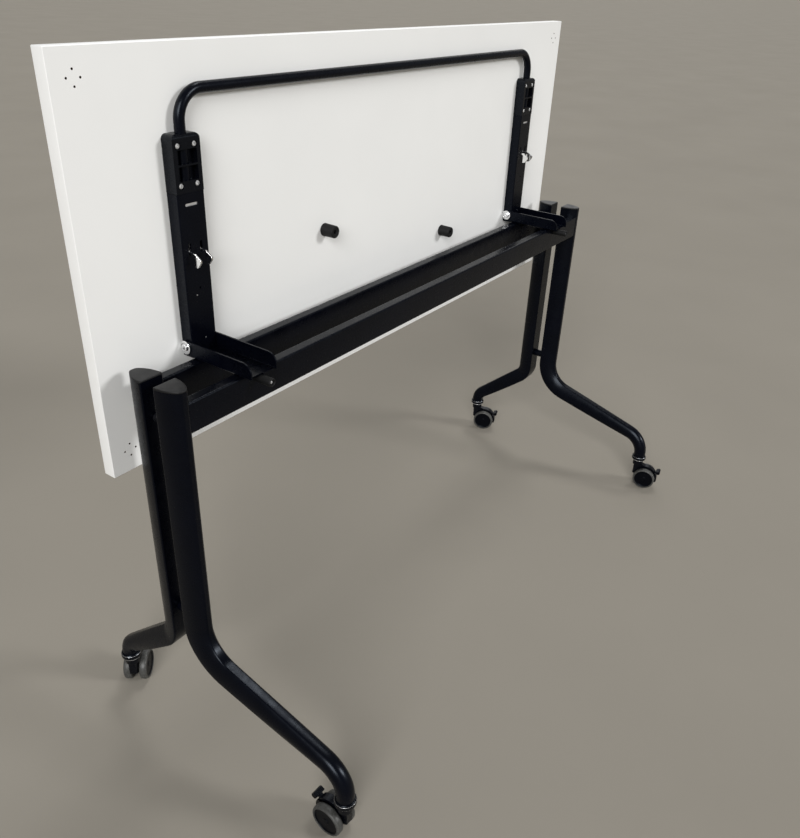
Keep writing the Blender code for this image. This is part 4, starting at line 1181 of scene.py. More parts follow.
@dataclass(frozen=True)
class ReleaseGear:
    """Bent release bar with the pull rods, hooks and return springs that it works."""

    line: ArmLine = ArmLine()
    bar_low: float = 0.2265
    bar_high: float = 0.3708
    bar_bend: float = 0.042
    rod_radius: float = 0.003
    rod_head: float = 0.005
    rod_collar: float = 0.003
    hook_tip: float = 0.1278
    tip_rise: float = 0.001
    standoff: float = 0.0085
    nose_depth: float = 0.0133
    brow_drop: float = 0.0085
    brow_round: float = 0.010
    jaw: float = 0.0075
    hook_arris: float = 0.00045
    spring_radius: float = 0.00575
    wire_radius: float = 0.00075
    spring_curls: int = 6

    def bar(self) -> Shape:
        """Bend the bar from tube.

        Returns:
            The bar in the frame of the pivot line's middle.
        """
        reach = self.line.spacing / 2
        stations = path_stations((
            (-reach, self.bar_low, 0), (-reach, self.bar_high, self.bar_bend),
            (reach, self.bar_high, self.bar_bend), (reach, self.bar_low, 0),
        ), 18)
        rings = []
        for point, direction in stations:
            ring = []
            for across, outward in circle(self.line.bar_radius, 32):
                x = point.x - direction.y * across
                z = point.y + direction.x * across
                ring.append(Vector((x, self.line.bar_y + outward, z)))
            rings.append(ring)
        return Shape.loft(rings).smoothed()

    def rod(self) -> Shape:
        """Turn one pull rod.

        Returns:
            The rod in the pivot's own frame.
        """
        seat = self.bar_low - FIT
        head = self.line.carrier_low - FIT
        wide, collar = self.line.bar_radius, self.rod_collar
        points = profile(
            (0, seat, 0), (wide, seat, 0.0005), (wide, seat - collar, 0.0005),
            (self.rod_radius, seat - collar, 0.0003), (self.rod_radius, head, 0),
            (self.rod_head, head, 0.0004), (self.rod_head, head - collar, 0.0006), (0, head - collar, 0),
        )
        return Shape.turned(points, 32, Run.Z, (0.0, self.line.bar_y)).smoothed(30)

    def hook(self) -> Shape:
        """Make one two-pronged hook on its carrier.

        Returns:
            The hook in the pivot's own frame.
        """
        line = self.line
        back = line.web - self.standoff
        front = back - self.nose_depth
        root = line.web + 2 * line.sheet
        outline = rounded((
            (root, line.shank_low, 0), (root, line.shank_high, 0), (back, line.shank_high, self.brow_round),
            (front, line.shank_high - self.brow_drop, 0.0015), (front, line.shank_low - self.jaw, 0.0035),
            ((back + front) / 2, self.hook_tip + self.tip_rise, 0.004), (back, self.hook_tip, 0.0006),
            (back, line.shank_low, 0.0012),
        ), 8)
        carrier = Shape.block((-line.hook_half, line.web + line.sheet + FIT, line.carrier_low),
                              (line.hook_half, line.lip - line.sheet - line.running_gap, line.carrier_high))
        prongs = [Shape.prism(outline, low, low + line.prong, Run.X)
                  for low in (-line.hook_half, line.hook_half - line.prong)]
        bore = Shape.prism(circle(self.rod_radius + FIT, 28, (0.0, line.bar_y)), self.hook_tip,
                           line.bridge_low, Run.Z)
        return carrier.fused(*prongs).cut(bore).softened(self.hook_arris, 2)

    def spring(self, side: Side, tool: CoilTool) -> None:
        """Wind one return spring, which on the table shortens when the bar is pulled; this coil keeps one
        length.

        Args:
            side: End of the table.
            tool: Tool that winds coils.
        """
        low = self.line.carrier_high + FIT + self.wire_radius
        high = self.line.bridge_low - FIT - self.wire_radius
        coil = tool.run(point_cloud([]), Coil_radius=self.spring_radius, Wire_radius=self.wire_radius,
                        Height=high - low, Curls=float(self.spring_curls), Finish=ZINC.material())
        place = self.line.place(side)
        coil.moved(place @ Matrix.Translation((0.0, self.line.bar_y, low)))
        name = f"{side.label}_return_spring"
        piece = add_piece(f"{name}_coil", coil, ZINC, Body.TOP.value, name)
        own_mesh(piece)

    def build(self) -> None:
        """Add the bar, and the rod, hook and spring of each end."""
        middle = Matrix.Translation(joint_place("top_flip"))
        add_piece("release_bar_tube", self.bar().moved(middle), COAT, Body.RELEASE.value, "release_bar")
        tool = CoilTool()
        for side in Side:
            place = self.line.place(side)
            add_piece(f"{side.label}_pull_rod_bar", self.rod().moved(place), ZINC, Body.RELEASE.value,
                      f"{side.label}_pull_rod")
            add_piece(f"{side.label}_latch_hook_plates", self.hook().moved(place), POLISHED,
                      Body.RELEASE.value, f"{side.label}_latch_hook")
            self.spring(side, tool)


@dataclass(frozen=True)
class SupportBracket:
    """Folded bracket across both beams that takes an arm's pivot."""

    line: ArmLine = ArmLine()
    sheet: float = 0.0025
    bend: float = 0.0033
    inner_bend: float = 0.0008
    arris: float = 0.0004
    skim: float = 0.0005
    plate_low: float = 0.7083
    plate_front: float = -0.0705
    plate_rear: float = 0.0543
    cheek_lead: float = 0.0028
    cheek_corner: float = 0.0012
    ear: float = 0.0105
    nose: float = 0.018
    notch: float = 0.003
    relief: float = 0.0042
    bolt_hole: float = 0.0086
    boss: tuple[float, float] = (0.003, -0.0555)
    boss_radius: float = 0.0065
    boss_height: float = 0.0006
    boss_wall: float = 0.0016
    boss_root: float = 0.001

    def folded(self) -> Shape:
        """Fold the bracket from sheet.

        Returns:
            The bracket about the middle of its arm, in the plane midway between the legs.
        """
        pivot = joint_place("top_flip")
        pivot_y = pivot.y - middle_plane()
        inner = self.line.width / 2 + self.line.running_gap
        outer = inner + self.sheet
        top = pivot.z + self.ear
        plate_high = self.plate_low + self.sheet
        channel = rounded((
            (-outer, top + OVERCUT, 0), (-outer, self.plate_low, self.bend),
            (outer, self.plate_low, self.bend), (outer, top + OVERCUT, 0),
            (inner, top + OVERCUT, 0), (inner, plate_high, self.inner_bend),
            (-inner, plate_high, self.inner_bend), (-inner, top + OVERCUT, 0),
        ))
        lead = self.plate_front - self.cheek_lead
        rear = pivot_y + self.ear
        cheek = rounded((
            (lead, self.plate_low, self.cheek_corner), (self.plate_rear, self.plate_low, 0),
            (rear, pivot.z - self.ear, self.ear / 2), (rear, top, self.ear - FIT), (lead, top, self.nose),
        ), 14)
        wide = outer + OVERCUT
        body = Shape.prism(channel, lead - OVERCUT, rear + OVERCUT, Run.Y)
        body.kept(Shape.prism(cheek, -wide, wide, Run.X))
        under, over = self.plate_low - OVERCUT, plate_high + self.skim
        tools = [
            Shape.block((-inner, lead - OVERCUT, under), (inner, self.plate_front, over)),
            Shape.block((-inner, self.plate_rear, under), (inner, rear + 2 * OVERCUT, over)),
            Shape.block((-inner, lead - OVERCUT, under), (0.0, self.plate_front + self.notch, over)),
            Shape.prism(circle(self.bolt_hole / 2, 28, (pivot_y, pivot.z)), -wide, wide, Run.X),
        ]
        for x in (-inner + self.relief / 3, inner - self.relief / 3):
            for y in (self.plate_front, self.plate_rear):
                relief = circle(self.relief / 2, 20, (x, y))
                tools.append(Shape.prism(relief, under, over + 2 * self.skim, Run.Z))
        root, crest = plate_high - self.boss_root, plate_high + self.boss_height
        rim, bore = self.boss_radius, self.boss_radius - self.boss_wall
        ring = rounded(((rim, root, 0), (rim, crest, 0.0003), (bore, crest, 0.0003), (bore, root, 0)), 3)
        boss = Shape.turned(ring, 36, Run.Z, self.boss, closed=True)
        return body.cut(*tools).fused(boss).softened(self.arris, 2)

    def build(self, side: Side) -> None:
        """Add the bracket of one end.

        Args:
            side: End of the table.
        """
        name = f"{side.label}_support_bracket"
        place = Matrix.Translation((side.value * self.line.spacing / 2, middle_plane(), 0.0))
        add_piece(f"{name}_sheet", self.folded().moved(place), COAT, Body.FRAME.value, name)


@dataclass(frozen=True)
class Pivot:
    """Button-head bolt with its washer and nut, which an arm turns on."""

    line: ArmLine = ArmLine()
    cheek: float = 0.028
    shaft: float = 0.004
    washer: float = 0.0111
    washer_thickness: float = 0.0022
    groove: float = 0.0081
    head: float = 0.0064
    head_thickness: float = 0.0044
    face_share: float = 0.8
    dome: float = 0.0008
    socket: float = 0.0050
    socket_depth: float = 0.0026
    socket_lead: float = 0.002
    nut_flats: float = 0.013
    nut_thickness: float = 0.0065
    nut_chamfer: float = 0.0008
    nut_slope: float = 0.0007
    nut_over: float = 0.0002
    end: float = 0.002

    def bolt(self) -> Shape:
        """Turn the bolt with its washer and cut its socket.

        Returns:
            The bolt in the pivot's own frame.
        """
        seat = -self.cheek - FIT
        face = seat - self.head_thickness
        end = self.cheek + FIT + self.nut_thickness + self.end
        rim = seat - self.washer_thickness
        points = profile(
            (0, face, 0), (self.head * self.face_share, face, 0.0006), (self.head, face + self.dome, 0.0005),
            (self.head, seat - FIT, 0), (self.groove, seat - FIT, 0), (self.groove, rim, 0.0003),
            (self.washer, rim, 0.0005), (self.washer, seat, 0.0003), (self.shaft, seat, 0),
            (self.shaft, end, 0.0007), (0, end, 0),
        )
        hexagon = circle(self.socket / 2 / math.cos(math.pi / 6), 6)
        socket = Shape.prism(hexagon, face - self.socket_lead, face + self.socket_depth, Run.X)
        return Shape.turned(points, 40, Run.X).cut(socket).smoothed(30)

    def nut(self) -> Shape:
        """Make the nut with its turned corners.

        Returns:
            The nut in the pivot's own frame.
        """
        seat = self.cheek + FIT
        far = seat + self.nut_thickness
        corner = self.nut_flats / 2 / math.cos(math.pi / 6)
        body = Shape.prism(circle(corner, 6), seat, far, Run.X)
        narrow, wide = corner - self.nut_slope, corner + self.nut_over
        turned = profile((0, seat, 0), (narrow, seat, 0), (wide, seat + self.nut_chamfer, 0),
                         (wide, far - self.nut_chamfer, 0), (narrow, far, 0), (0, far, 0))
        bore = Shape.prism(circle(self.shaft + FIT / 2, 28), 0.0, 2 * seat, Run.X)
        return body.kept(Shape.turned(turned, 48, Run.X)).cut(bore).smoothed(20)

    def build(self, side: Side) -> None:
        """Add the bolt and nut of one end.

        Args:
            side: End of the table.
        """
        place = self.line.place(side)
        add_piece(f"{side.label}_pivot_bolt_turned", self.bolt().moved(place), CHROME, Body.FRAME.value,
                  f"{side.label}_pivot_bolt")
        add_piece(f"{side.label}_pivot_nut_hex", self.nut().moved(place), ZINC, Body.FRAME.value,
                  f"{side.label}_pivot_nut")


@dataclass(frozen=True)
class Bumper:
    """Rubber bumper that stands out along -Y, with a screw down its hole."""

    node: str
    body: Body
    hole: float
    draft: float
    edge: float = 0.0016
    flange: float = 0.0025
    flange_slope: float = 0.0007
    dish: float = 0.0007
    dish_shares: tuple[float, float] = (0.72, 0.66)
    hole_depth: float = 0.010

    def turned(self) -> Shape:
        """Mould the bumper in the space of its node.

        Returns:
            The bumper in place.
        """
        low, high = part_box(self.node)
        radius = (high.x - low.x) / 2
        seat, tip = high.y, low.y
        centre = ((low.x + high.x) / 2, (low.z + high.z) / 2)
        mouth = radius - self.draft
        outer_dish, inner_dish = (mouth * share for share in self.dish_shares)
        floor = tip + self.hole_depth
        points = profile(
            (0, seat, 0), (radius, seat, 0.0008), (radius, seat - self.flange, 0.0004),
            (radius - self.draft / 2, seat - self.flange - self.flange_slope, 0.0004),
            (mouth, tip, self.edge), (outer_dish, tip, 0.0004), (inner_dish, tip + self.dish, 0.0004),
            (self.hole / 2, tip + self.dish, 0.0005), (self.hole / 2, floor, 0), (0, floor, 0),
        )
        return Shape.turned(points, 48, Run.Y, centre).smoothed(40)

    def screw_point(self) -> Vector:
        """Return where the screw head sits in the hole."""
        low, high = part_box(self.node)
        return Vector(((low.x + high.x) / 2, low.y + self.hole_depth, (low.z + high.z) / 2))

    def build(self) -> None:
        """Add the bumper."""
        add_piece(f"{self.node}_moulding", self.turned(), RUBBER, self.body.value, self.node)


@dataclass(frozen=True)
class LegSizes:
    """Sizes that the legs share with their caps and with the beams."""

    x: float = 0.6576
    width: float = 0.041
    depth: float = 0.0414
    gap: float = 0.0264
    nose_shape: float = 1.4
    foot_shape: float = 1.0
    nose_flat: float = 0.0040
    foot_flat: float = 0.0079
    nose_drop: float = 0.0038
    corner: float = 0.0028
    ridge: float = 0.0011
    top: float = 0.7277
    foot_diameter: float = 0.031
    foot_end: float = 0.0923

    @property
    def middle(self) -> float:
        """Return how far a leg's middle lies from the plane between the legs."""
        return self.gap / 2 + self.depth / 2

    def bullet(self, share: float, ridged: float, grow: float) -> Vector:
        """Find a point on the right half of the bullet-shaped section, with rounded corners.

        Args:
            share: Place along the half: 0 at the middle of the flat back, 1 at its corner, 7 at the edge
                of the nose and 8 at the nose's middle.
            ridged: 0 for the pointed nose of the upright, 1 for the flat nose on top of the foot.
            grow: How far the section is made larger all round.

        Returns:
            The (across, outward) point.
        """
        half, depth = self.width / 2 + grow, self.depth + 2 * grow
        flat = self.nose_flat + ridged * (self.foot_flat - self.nose_flat)
        shape = self.nose_shape + ridged * (self.foot_shape - self.nose_shape)
        tall = depth - ridged * self.nose_drop

        def raw(at: float) -> Vector:
            """Find the point on the section with sharp corners.

            Args:
                at: Place along the half.

            Returns:
                The (across, outward) point.
            """
            if at <= 1:
                return Vector((half * at, -depth / 2))
            if at >= 7:
                return Vector((flat * (8 - at), tall - depth / 2))
            rise = math.sin(math.pi / 2 * (at - 1) / 6)
            flank = max(1 - rise * rise, 0.0) ** (1 / shape)
            return Vector((flat + (half - flat) * flank, tall * rise - depth / 2))

        round_back = 12 / math.pi * math.asin(self.corner / tall)
        round_nose = 12 / math.pi * math.acos(1 - self.ridge / tall)
        for corner, before, after in ((1, self.corner / half, round_back),
                                      (7, round_nose, min(self.ridge / flat, 0.9))):
            first, last = corner - before, corner + after
            if first < share < last:
                along = (share - first) / (last - first)
                tip = raw(corner)
                return raw(first).lerp(tip, along).lerp(tip.lerp(raw(last), along), along)
        return raw(share)

    def section(self, roundness: float, ridged: float = 0.0, grow: float = 0.0) -> Outline:
        """Return a leg's section.

        Args:
            roundness: 0 for the bullet of the upright, 1 for the round end of the foot.
            ridged: 0 for the pointed nose of the upright, 1 for the flat nose on top of the foot.
            grow: How far the bullet is made larger all round.

        Returns:
            The (across, outward) points of the section.
        """
        # The places lie closest together at the rounded corners
        shares = [0.0, 0.45] + [0.8 + 0.08 * step for step in range(10)]
        shares += [1.75 + 0.25 * step for step in range(18)] + [6.1 + 0.1 * step for step in range(20)]
        half: Outline = []
        for share in shares:
            flat = self.bullet(share, ridged, grow)
            turn = math.pi * share / 8 - math.pi / 2
            ring = Vector((math.cos(turn), math.sin(turn))) * self.foot_diameter / 2
            half.append(tuple(flat.lerp(ring, roundness)))
        return half + [(-across, outward) for across, outward in half[::-1] if across > 1e-6]


@dataclass(frozen=True)
class Leg:
    """Bent leg of one row, from its cap down to its caster."""

    row: Row
    reach: float
    knee: tuple[float, float]
    toe: tuple[float, float]
    taper: float
    sizes: LegSizes = LegSizes()
    bend_steps: int = 18
    foot_steps: int = 14
    cap_seam: float = 0.0002
    cap_thickness: float = 0.0033

    def tube(self) -> Shape:
        """Bend the leg and round it towards the foot.

        Returns:
            The leg in the plane of its end of the table.
        """
        sizes = self.sizes
        stations = path_stations((
            (sizes.middle, sizes.top, 0), (sizes.middle, *self.knee), (self.reach, *self.toe),
            (self.reach, sizes.foot_end, 0),
        ), self.bend_steps)
        knee_end = self.bend_steps + 1
        first, direction = stations[knee_end]
        last = stations[knee_end + 1][0]
        stations[knee_end + 1:knee_end + 1] = [(first.lerp(last, step / self.foot_steps), direction)
                                               for step in range(1, self.foot_steps)]
        lengths = [0.0]
        for (before, _), (after, _) in zip(stations, stations[1:]):
            lengths.append(lengths[-1] + (after - before).length)
        start, bent, end = lengths[1], lengths[knee_end], lengths[-2]
        rings = []
        for (point, heading), length in zip(stations, lengths):
            share = min(max((length - start) / (end - start), 0.0), 1.0) ** self.taper
            turned = min(max((length - start) / (bent - start), 0.0), 1.0)
            ring = []
            for across, outward in sizes.section(share, turned * turned * (3 - 2 * turned)):
                distance = point.x - heading.y * outward
                ring.append(Vector((across, self.row.value * distance, point.y + heading.x * outward)))
            rings.append(ring)
        return Shape.loft(rings).smoothed(50)

    def cap(self) -> Shape:
        """Make the cap with its softened upper edge.

        Returns:
            The cap in the plane of its end of the table.
        """
        sizes = self.sizes
        low = sizes.top + self.cap_seam
        high = sizes.top + self.cap_thickness
        edge = ((-0.0004, low), (-0.0001, low + 0.0003), (-0.0001, high - 0.0010),
                (-0.0004, high - 0.0004), (-0.0010, high - 0.0001), (-0.0022, high))
        rings = []
        for grow, level in edge:
            rings.append([Vector((across, self.row.value * (sizes.middle + outward), level))
                          for across, outward in sizes.section(0.0, 0.0, grow)])
        return Shape.loft(rings).smoothed(40)

    def build(self, side: Side) -> None:
        """Add the leg and the cap of one end.

        Args:
            side: End of the table.
        """
        place = Matrix.Translation((side.value * self.sizes.x, middle_plane(), 0.0))
        name = f"{side.label}_{self.row.label}_leg"
        add_piece(f"{name}_tube", self.tube().moved(place), COAT, Body.FRAME.value, name)
        add_piece(f"{name}_cap_moulding", self.cap().moved(place), PLASTIC, Body.FRAME.value, f"{name}_cap")


@dataclass(frozen=True)
class CrossFrame:
    """The two beams, and the ties and spacers between the legs."""

    legs: LegSizes = LegSizes()
    beam_middle: float = 0.0435
    beam_width: float = 0.020
    beam_top: float = 0.708
    beam_height: float = 0.050
    beam_round: float = 0.0032
    leg_gap: float = 0.0001
    spacer_edge: float = 0.0008

    def beam(self, row: Row) -> Shape:
        """Cut a beam to the legs.

        Args:
            row: Row of legs that the beam joins.

        Returns:
            The beam in place.
        """
        near, far = self.beam_middle - self.beam_width / 2, self.beam_middle + self.beam_width / 2
        low = self.beam_top - self.beam_height
        outline = [(row.value * a, b)
                   for a, b in rounded_box((near, low), (far, self.beam_top), self.beam_round)]
        beam = Shape.prism(outline, -self.legs.x, self.legs.x, Run.X)
        tools = []
        for side in Side:
            section = [(across, row.value * (self.legs.middle + outward))
                       for across, outward in self.legs.section(0.0, 0.0, self.leg_gap)]
            tool = Shape.prism(section, low - 2 * OVERCUT, self.beam_top + 2 * OVERCUT, Run.Z)
            tools.append(tool.moved(Matrix.Translation((side.value * self.legs.x, 0.0, 0.0))))
        return beam.cut(*tools).smoothed(30).moved(Matrix.Translation((0.0, middle_plane(), 0.0)))

    def spacer(self, node: str) -> Shape:
        """Turn a spacer in the space of its node.

        Args:
            node: The node.

        Returns:
            The spacer in place.
        """
        low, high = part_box(node)
        radius = (high.z - low.z) / 2
        points = profile((0, low.y, 0), (radius, low.y, self.spacer_edge),
                         (radius, high.y, self.spacer_edge), (0, high.y, 0), steps=3)
        return Shape.turned(points, 40, Run.Y, ((low.x + high.x) / 2, (low.z + high.z) / 2)).smoothed(40)

    def build(self) -> None:
        """Add the beams, ties and spacers."""
        for row in Row:
            add_piece(f"{row.label}_beam_tube", self.beam(row), COAT, Body.FRAME.value, f"{row.label}_beam")
        for side in Side:
            for label, finish in (("upper_leg_tie", DARK_ZINC), ("lower_leg_spacer", COAT)):
                node = f"{side.label}_{label}"
                add_piece(f"{node}_turned", self.spacer(node), finish, Body.FRAME.value, node)


@dataclass(frozen=True)
class Caster:
    """Twin-wheel caster at one corner, built trailing along +X from its stem."""

    corner: str
    trail: float = 0.025
    height: float = 0.080
    axle_height: float = 0.02963
    wheel_radius: float = 0.02960
    wheel_width: float = 0.015
    wheel_inner: float = 0.0074
    hub_radius: float = 0.0244
    hood_radius: float = 0.034
    hood_half: float = 0.0067
    hood_end: float = math.radians(95)
    hood_steps: int = 32
    hood_arris: float = 0.0009
    post_half: float = 0.009
    post_rise: float = 0.006
    post_drop: float = 0.026
    skirt: float = 0.009
    neck_radius: float = 0.0135
    neck_low: float = 0.0622
    collar_radius: float = 0.01875
    collar_height: float = 0.012
    race_low: float = 0.0001
    race_high: float = 0.0015
    race_inset: float = 0.0012
    collar_low: float = 0.0016
    rim_wire: float = 0.0005
    rim_inset: float = 0.0010
    rim_drop: float = 0.0028
    lever_seat: float = 0.027
    lever_seat_angle: float = math.radians(40)
    lever_rest: float = math.radians(20)
    lever_travel: float = math.radians(20)
    lever_reach: float = 0.021
    lever_half: float = 0.004
    lever_thick: float = 0.0025
    knuckle: float = 0.005
    pedal_half: float = 0.010
    pedal_length: float = 0.011
    pedal_deep: float = 0.0044
    pedal_chamfer: float = 0.0025
    lever_arris: float = 0.0006
    rib_count: int = 3
    rib_pitch: float = 0.0024
    rib_start: float = 0.0021
    rib_margin: float = 0.002
    rib_width: float = 0.0009
    rib_height: float = 0.0008

    def place(self) -> Matrix:
        """Find the caster's place and swivel angle from its joints.

        Returns:
            The move from the caster's own frame to its corner.
        """
        stem = joint_place(f"{self.corner}_caster_turn")
        axle = joint_axis(f"{self.corner}_left_wheel_roll")
        turn = math.atan2(-axle.x, axle.y)
        return Matrix.Translation((stem.x, stem.y, 0.0)) @ Matrix.Rotation(turn, 4, "Z")

    def lever_pivot(self) -> Vector:
        """Return the brake lever's pivot as (along the trail, height)."""
        return Vector((self.trail + self.lever_seat * math.cos(self.lever_seat_angle),
                       self.axle_height + self.lever_seat * math.sin(self.lever_seat_angle)))

    def collar(self) -> Shape:
        """Turn the collar under the foot, with the top of its stem.

        Returns:
            The collar in the caster's own frame.
        """
        low, high = self.height + self.collar_low, self.height + self.collar_height
        radius = self.collar_radius
        points = profile((0, high, 0), (radius - 0.0022, high, 0.0012), (radius, high - 0.0035, 0.0016),
                         (radius, low, 0.0012), (radius - 0.003, low, 0), (0, low, 0))
        return Shape.turned(points, 48, Run.Z).smoothed(40)

    def race(self) -> Shape:
        """Turn the bright ring between the collar and the hood's neck, a painted highlight for the collar's
        lower edge.

        Returns:
            The ring in the caster's own frame.
        """
        low, high = self.height + self.race_low, self.height + self.race_high
        radius = self.collar_radius - self.race_inset
        points = profile((0, high, 0), (radius, high, 0.0004), (radius, low, 0.0006), (0, low, 0), steps=3)
        return Shape.turned(points, 48, Run.Z).smoothed(40)

    def rim(self) -> Shape:
        """Turn the thin bright ring on the collar's shoulder, a painted highlight for the collar's top edge.

        Returns:
            The ring in the caster's own frame.
        """
        middle = (self.collar_radius - self.rim_inset, self.height + self.collar_height - self.rim_drop)
        wire = circle(self.rim_wire, 12, middle)
        return Shape.turned(wire, 48, Run.Z, closed=True).smoothed(60)

    def hood(self) -> Shape:
        """Mould the hood between the wheels.

        Returns:
            The hood in the caster's own frame.
        """
        first = -math.asin(self.skirt / self.hood_radius)
        outline: Outline = []
        for step in range(self.hood_steps + 1):
            turn = first + (self.hood_end - first) * step / self.hood_steps
            outline.append((self.trail + self.hood_radius * math.cos(turn),
                            self.axle_height + self.hood_radius * math.sin(turn)))
        post, low = self.post_half, self.neck_low
        outline += [(post, low + self.post_rise), (-post, low + self.post_rise),
                    (-post, low - self.post_drop), (self.trail - self.skirt, self.axle_height - self.skirt)]
        top, radius = self.height - FIT, self.neck_radius
        neck = profile((0, top, 0), (radius, top, 0.0008), (radius, low + 0.002, 0.002),
                       (radius - 0.004, low, 0.001), (0, low, 0))
        pivot = self.lever_pivot()
        side = self.lever_thick + FIT
        far = 2 * self.lever_reach
        slot: Outline = []
        for start, end, turn, offset in ((0, far, self.lever_rest, side),
                                         (far, 0, self.lever_rest - self.lever_travel, -side)):
            spin = Matrix.Rotation(turn, 2)
            slot += [tuple(pivot + spin @ Vector((reach, offset))) for reach in (start, end)]
        wide = 2 * self.hood_half
        body = Shape.prism(outline, -self.hood_half, self.hood_half, Run.Y)
        body.fused(Shape.turned(neck, 40, Run.Z))
        body.cut(Shape.prism(circle(self.knuckle + FIT, 28, tuple(pivot)), -wide, wide, Run.Y),
                 Shape.prism(slot, -wide, wide, Run.Y))
        return body.softened(self.hood_arris, 3)

    def tyre(self, way: int) -> Shape:
        """Cast one tread.

        Args:
            way: Side of the hood, as the sign of Y.

        Returns:
            The tread in the caster's own frame.
        """
        radius, wide, hub = self.wheel_radius, self.wheel_width, self.hub_radius
        loop = rounded((
            (hub, 0.0, 0.0004), (radius - 0.0006, 0.0, 0.0042), (radius, wide / 2, 0.006),
            (radius - 0.0006, wide, 0.0042), (hub + 0.0006, wide, 0.0009), (hub, wide - 0.0022, 0.0004),
        ), 6)
        points = [(distance, way * (self.wheel_inner + level)) for distance, level in loop]
        return Shape.turned(points, 72, Run.Y, (self.trail, self.axle_height), closed=True).smoothed(45)

    def hub(self, way: int) -> Shape:
        """Mould one hub disc with its raised rim and cap.

        Args:
            way: Side of the hood, as the sign of Y.

        Returns:
            The disc in the caster's own frame.
        """
        edge, wide = self.hub_radius - 0.00012, self.wheel_width
        loop = profile(
            (0, wide - 0.0013, 0), (0.0052, wide - 0.0013, 0.0006), (0.0060, wide - 0.0021, 0.0006),
            (edge - 0.0030, wide - 0.0024, 0.0010), (edge - 0.0014, wide - 0.0010, 0.0005),
            (edge, wide - 0.0012, 0.0004), (edge, 0.0003, 0), (0.0044, 0.0003, 0), (0.0044, 0.0096, 0),
            (0, 0.0096, 0),
        )
        points = [(distance, way * (self.wheel_inner + level)) for distance, level in loop]
        return Shape.turned(points, 60, Run.Y, (self.trail, self.axle_height)).smoothed(35)

    def lever(self) -> Shape:
        """Mould the brake lever.

        Returns:
            The lever in the caster's own frame.
        """
        pivot = self.lever_pivot()
        spin = Matrix.Rotation(self.lever_rest, 2)

        def bar(width: float, *corners: tuple) -> Shape:
            """Return a bar along the lever from the corners of its side."""
            outline = [tuple(pivot + spin @ Vector(point)) for point in rounded(corners, 4)]
            return Shape.prism(outline, -width, width, Run.Y)

        half, thick, deep = self.lever_half, self.lever_thick, self.pedal_deep
        near, far = self.lever_reach - self.pedal_length, self.lever_reach - FIT
        middle, chamfer = (near + far) / 2, self.pedal_chamfer
        knuckle = Shape.prism(circle(self.knuckle, 32, tuple(pivot)), -half, half, Run.Y)
        neck = bar(half, (0.0, -thick, 0.0008), (middle, -thick, 0.0008), (middle, thick, 0.0008),
                   (0.0, thick, 0.0008))
        pedal = bar(self.pedal_half, (near + chamfer, -deep, 0.0012), (far - chamfer, -deep, 0.0012),
                    (far, 0.0, 0.0012), (far - chamfer, deep, 0.0012), (near, deep, 0.0008),
                    (near, 0.0, 0.0008))
        return knuckle.fused(neck, pedal).softened(self.lever_arris, 2)

    def ribs(self, tool: RibTool) -> Shape:
        """Lay the grip ribs on the pedal.

        Args:
            tool: Tool that lays rows of ribs.

        Returns:
            The ribs in the caster's own frame.
        """
        pivot = self.lever_pivot()
        size = (self.rib_width, 2 * (self.pedal_half - self.rib_margin), self.rib_height)
        row = tool.run(point_cloud([]), Count=self.rib_count, Step=(self.rib_pitch, 0.0, 0.0), Size=size,
                       Finish=HUB.material())
        first = self.lever_reach - self.pedal_length + self.rib_start
        start = Matrix.Translation((first, 0.0, self.pedal_deep))
        spin = Matrix.Rotation(-self.lever_rest, 4, "Y")
        return row.moved(Matrix.Translation((pivot.x, 0.0, pivot.y)) @ spin @ start)

    def build(self, tool: RibTool) -> None:
        """Add every piece of the caster.

        Args:
            tool: Tool that lays the pedal's ribs.
        """
        place = self.place()
        corner = self.corner
        add_piece(f"{corner}_caster_collar", self.collar().moved(place), GLOSS_PLASTIC, Body.FRAME.value,
                  f"{corner}_caster_stem")
        # Bright zinc ring under the collar: a painted highlight for the collar's lower edge
        add_piece(f"{corner}_caster_race", self.race().moved(place), ZINC, Body.FRAME.value)
        # Bright zinc wire on the collar's shoulder: a painted highlight for the collar's top edge
        add_piece(f"{corner}_caster_rim", self.rim().moved(place), ZINC, Body.FRAME.value)
        add_piece(f"{corner}_caster_hood_moulding", self.hood().moved(place), GLOSS_PLASTIC,
                  f"{corner}_swivel", f"{corner}_caster_hood")
        for label, way in (("left", 1), ("right", -1)):
            body = f"{corner}_{label}_wheel"
            add_piece(f"{corner}_caster_{label}_tread", self.tyre(way).moved(place), TREAD, body,
                      f"{corner}_caster_{label}_wheel")
            add_piece(f"{corner}_caster_{label}_hub", self.hub(way).moved(place), HUB, body)
        add_piece(f"{corner}_brake_lever_moulding", self.lever().moved(place), HUB, f"{corner}_brake",
                  f"{corner}_brake_lever")
        add_piece(f"{corner}_brake_pedal_ribs", self.ribs(tool).moved(place), HUB, f"{corner}_brake")
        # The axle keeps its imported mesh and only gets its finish
        axle = frame["nodes"][f"{corner}_caster_axle"]
        axle.data.materials.clear()
        axle.data.materials.append(ZINC.material())


@dataclass(frozen=True)
class Lamp:
    """A soft lamp, far away."""

    name: str
    strength: float
    source: tuple[float, float, float]
    spread: float

    def build(self) -> None:
        """Hang the lamp so that it shines from its source."""
        sun = bpy.data.lights.new(self.name, "SUN")
        sun.energy = self.strength
        sun.angle = math.radians(self.spread)
        lamp = link_object(self.name, sun)
        lamp.rotation_euler = Vector(self.source).to_track_quat("Z", "Y").to_euler()


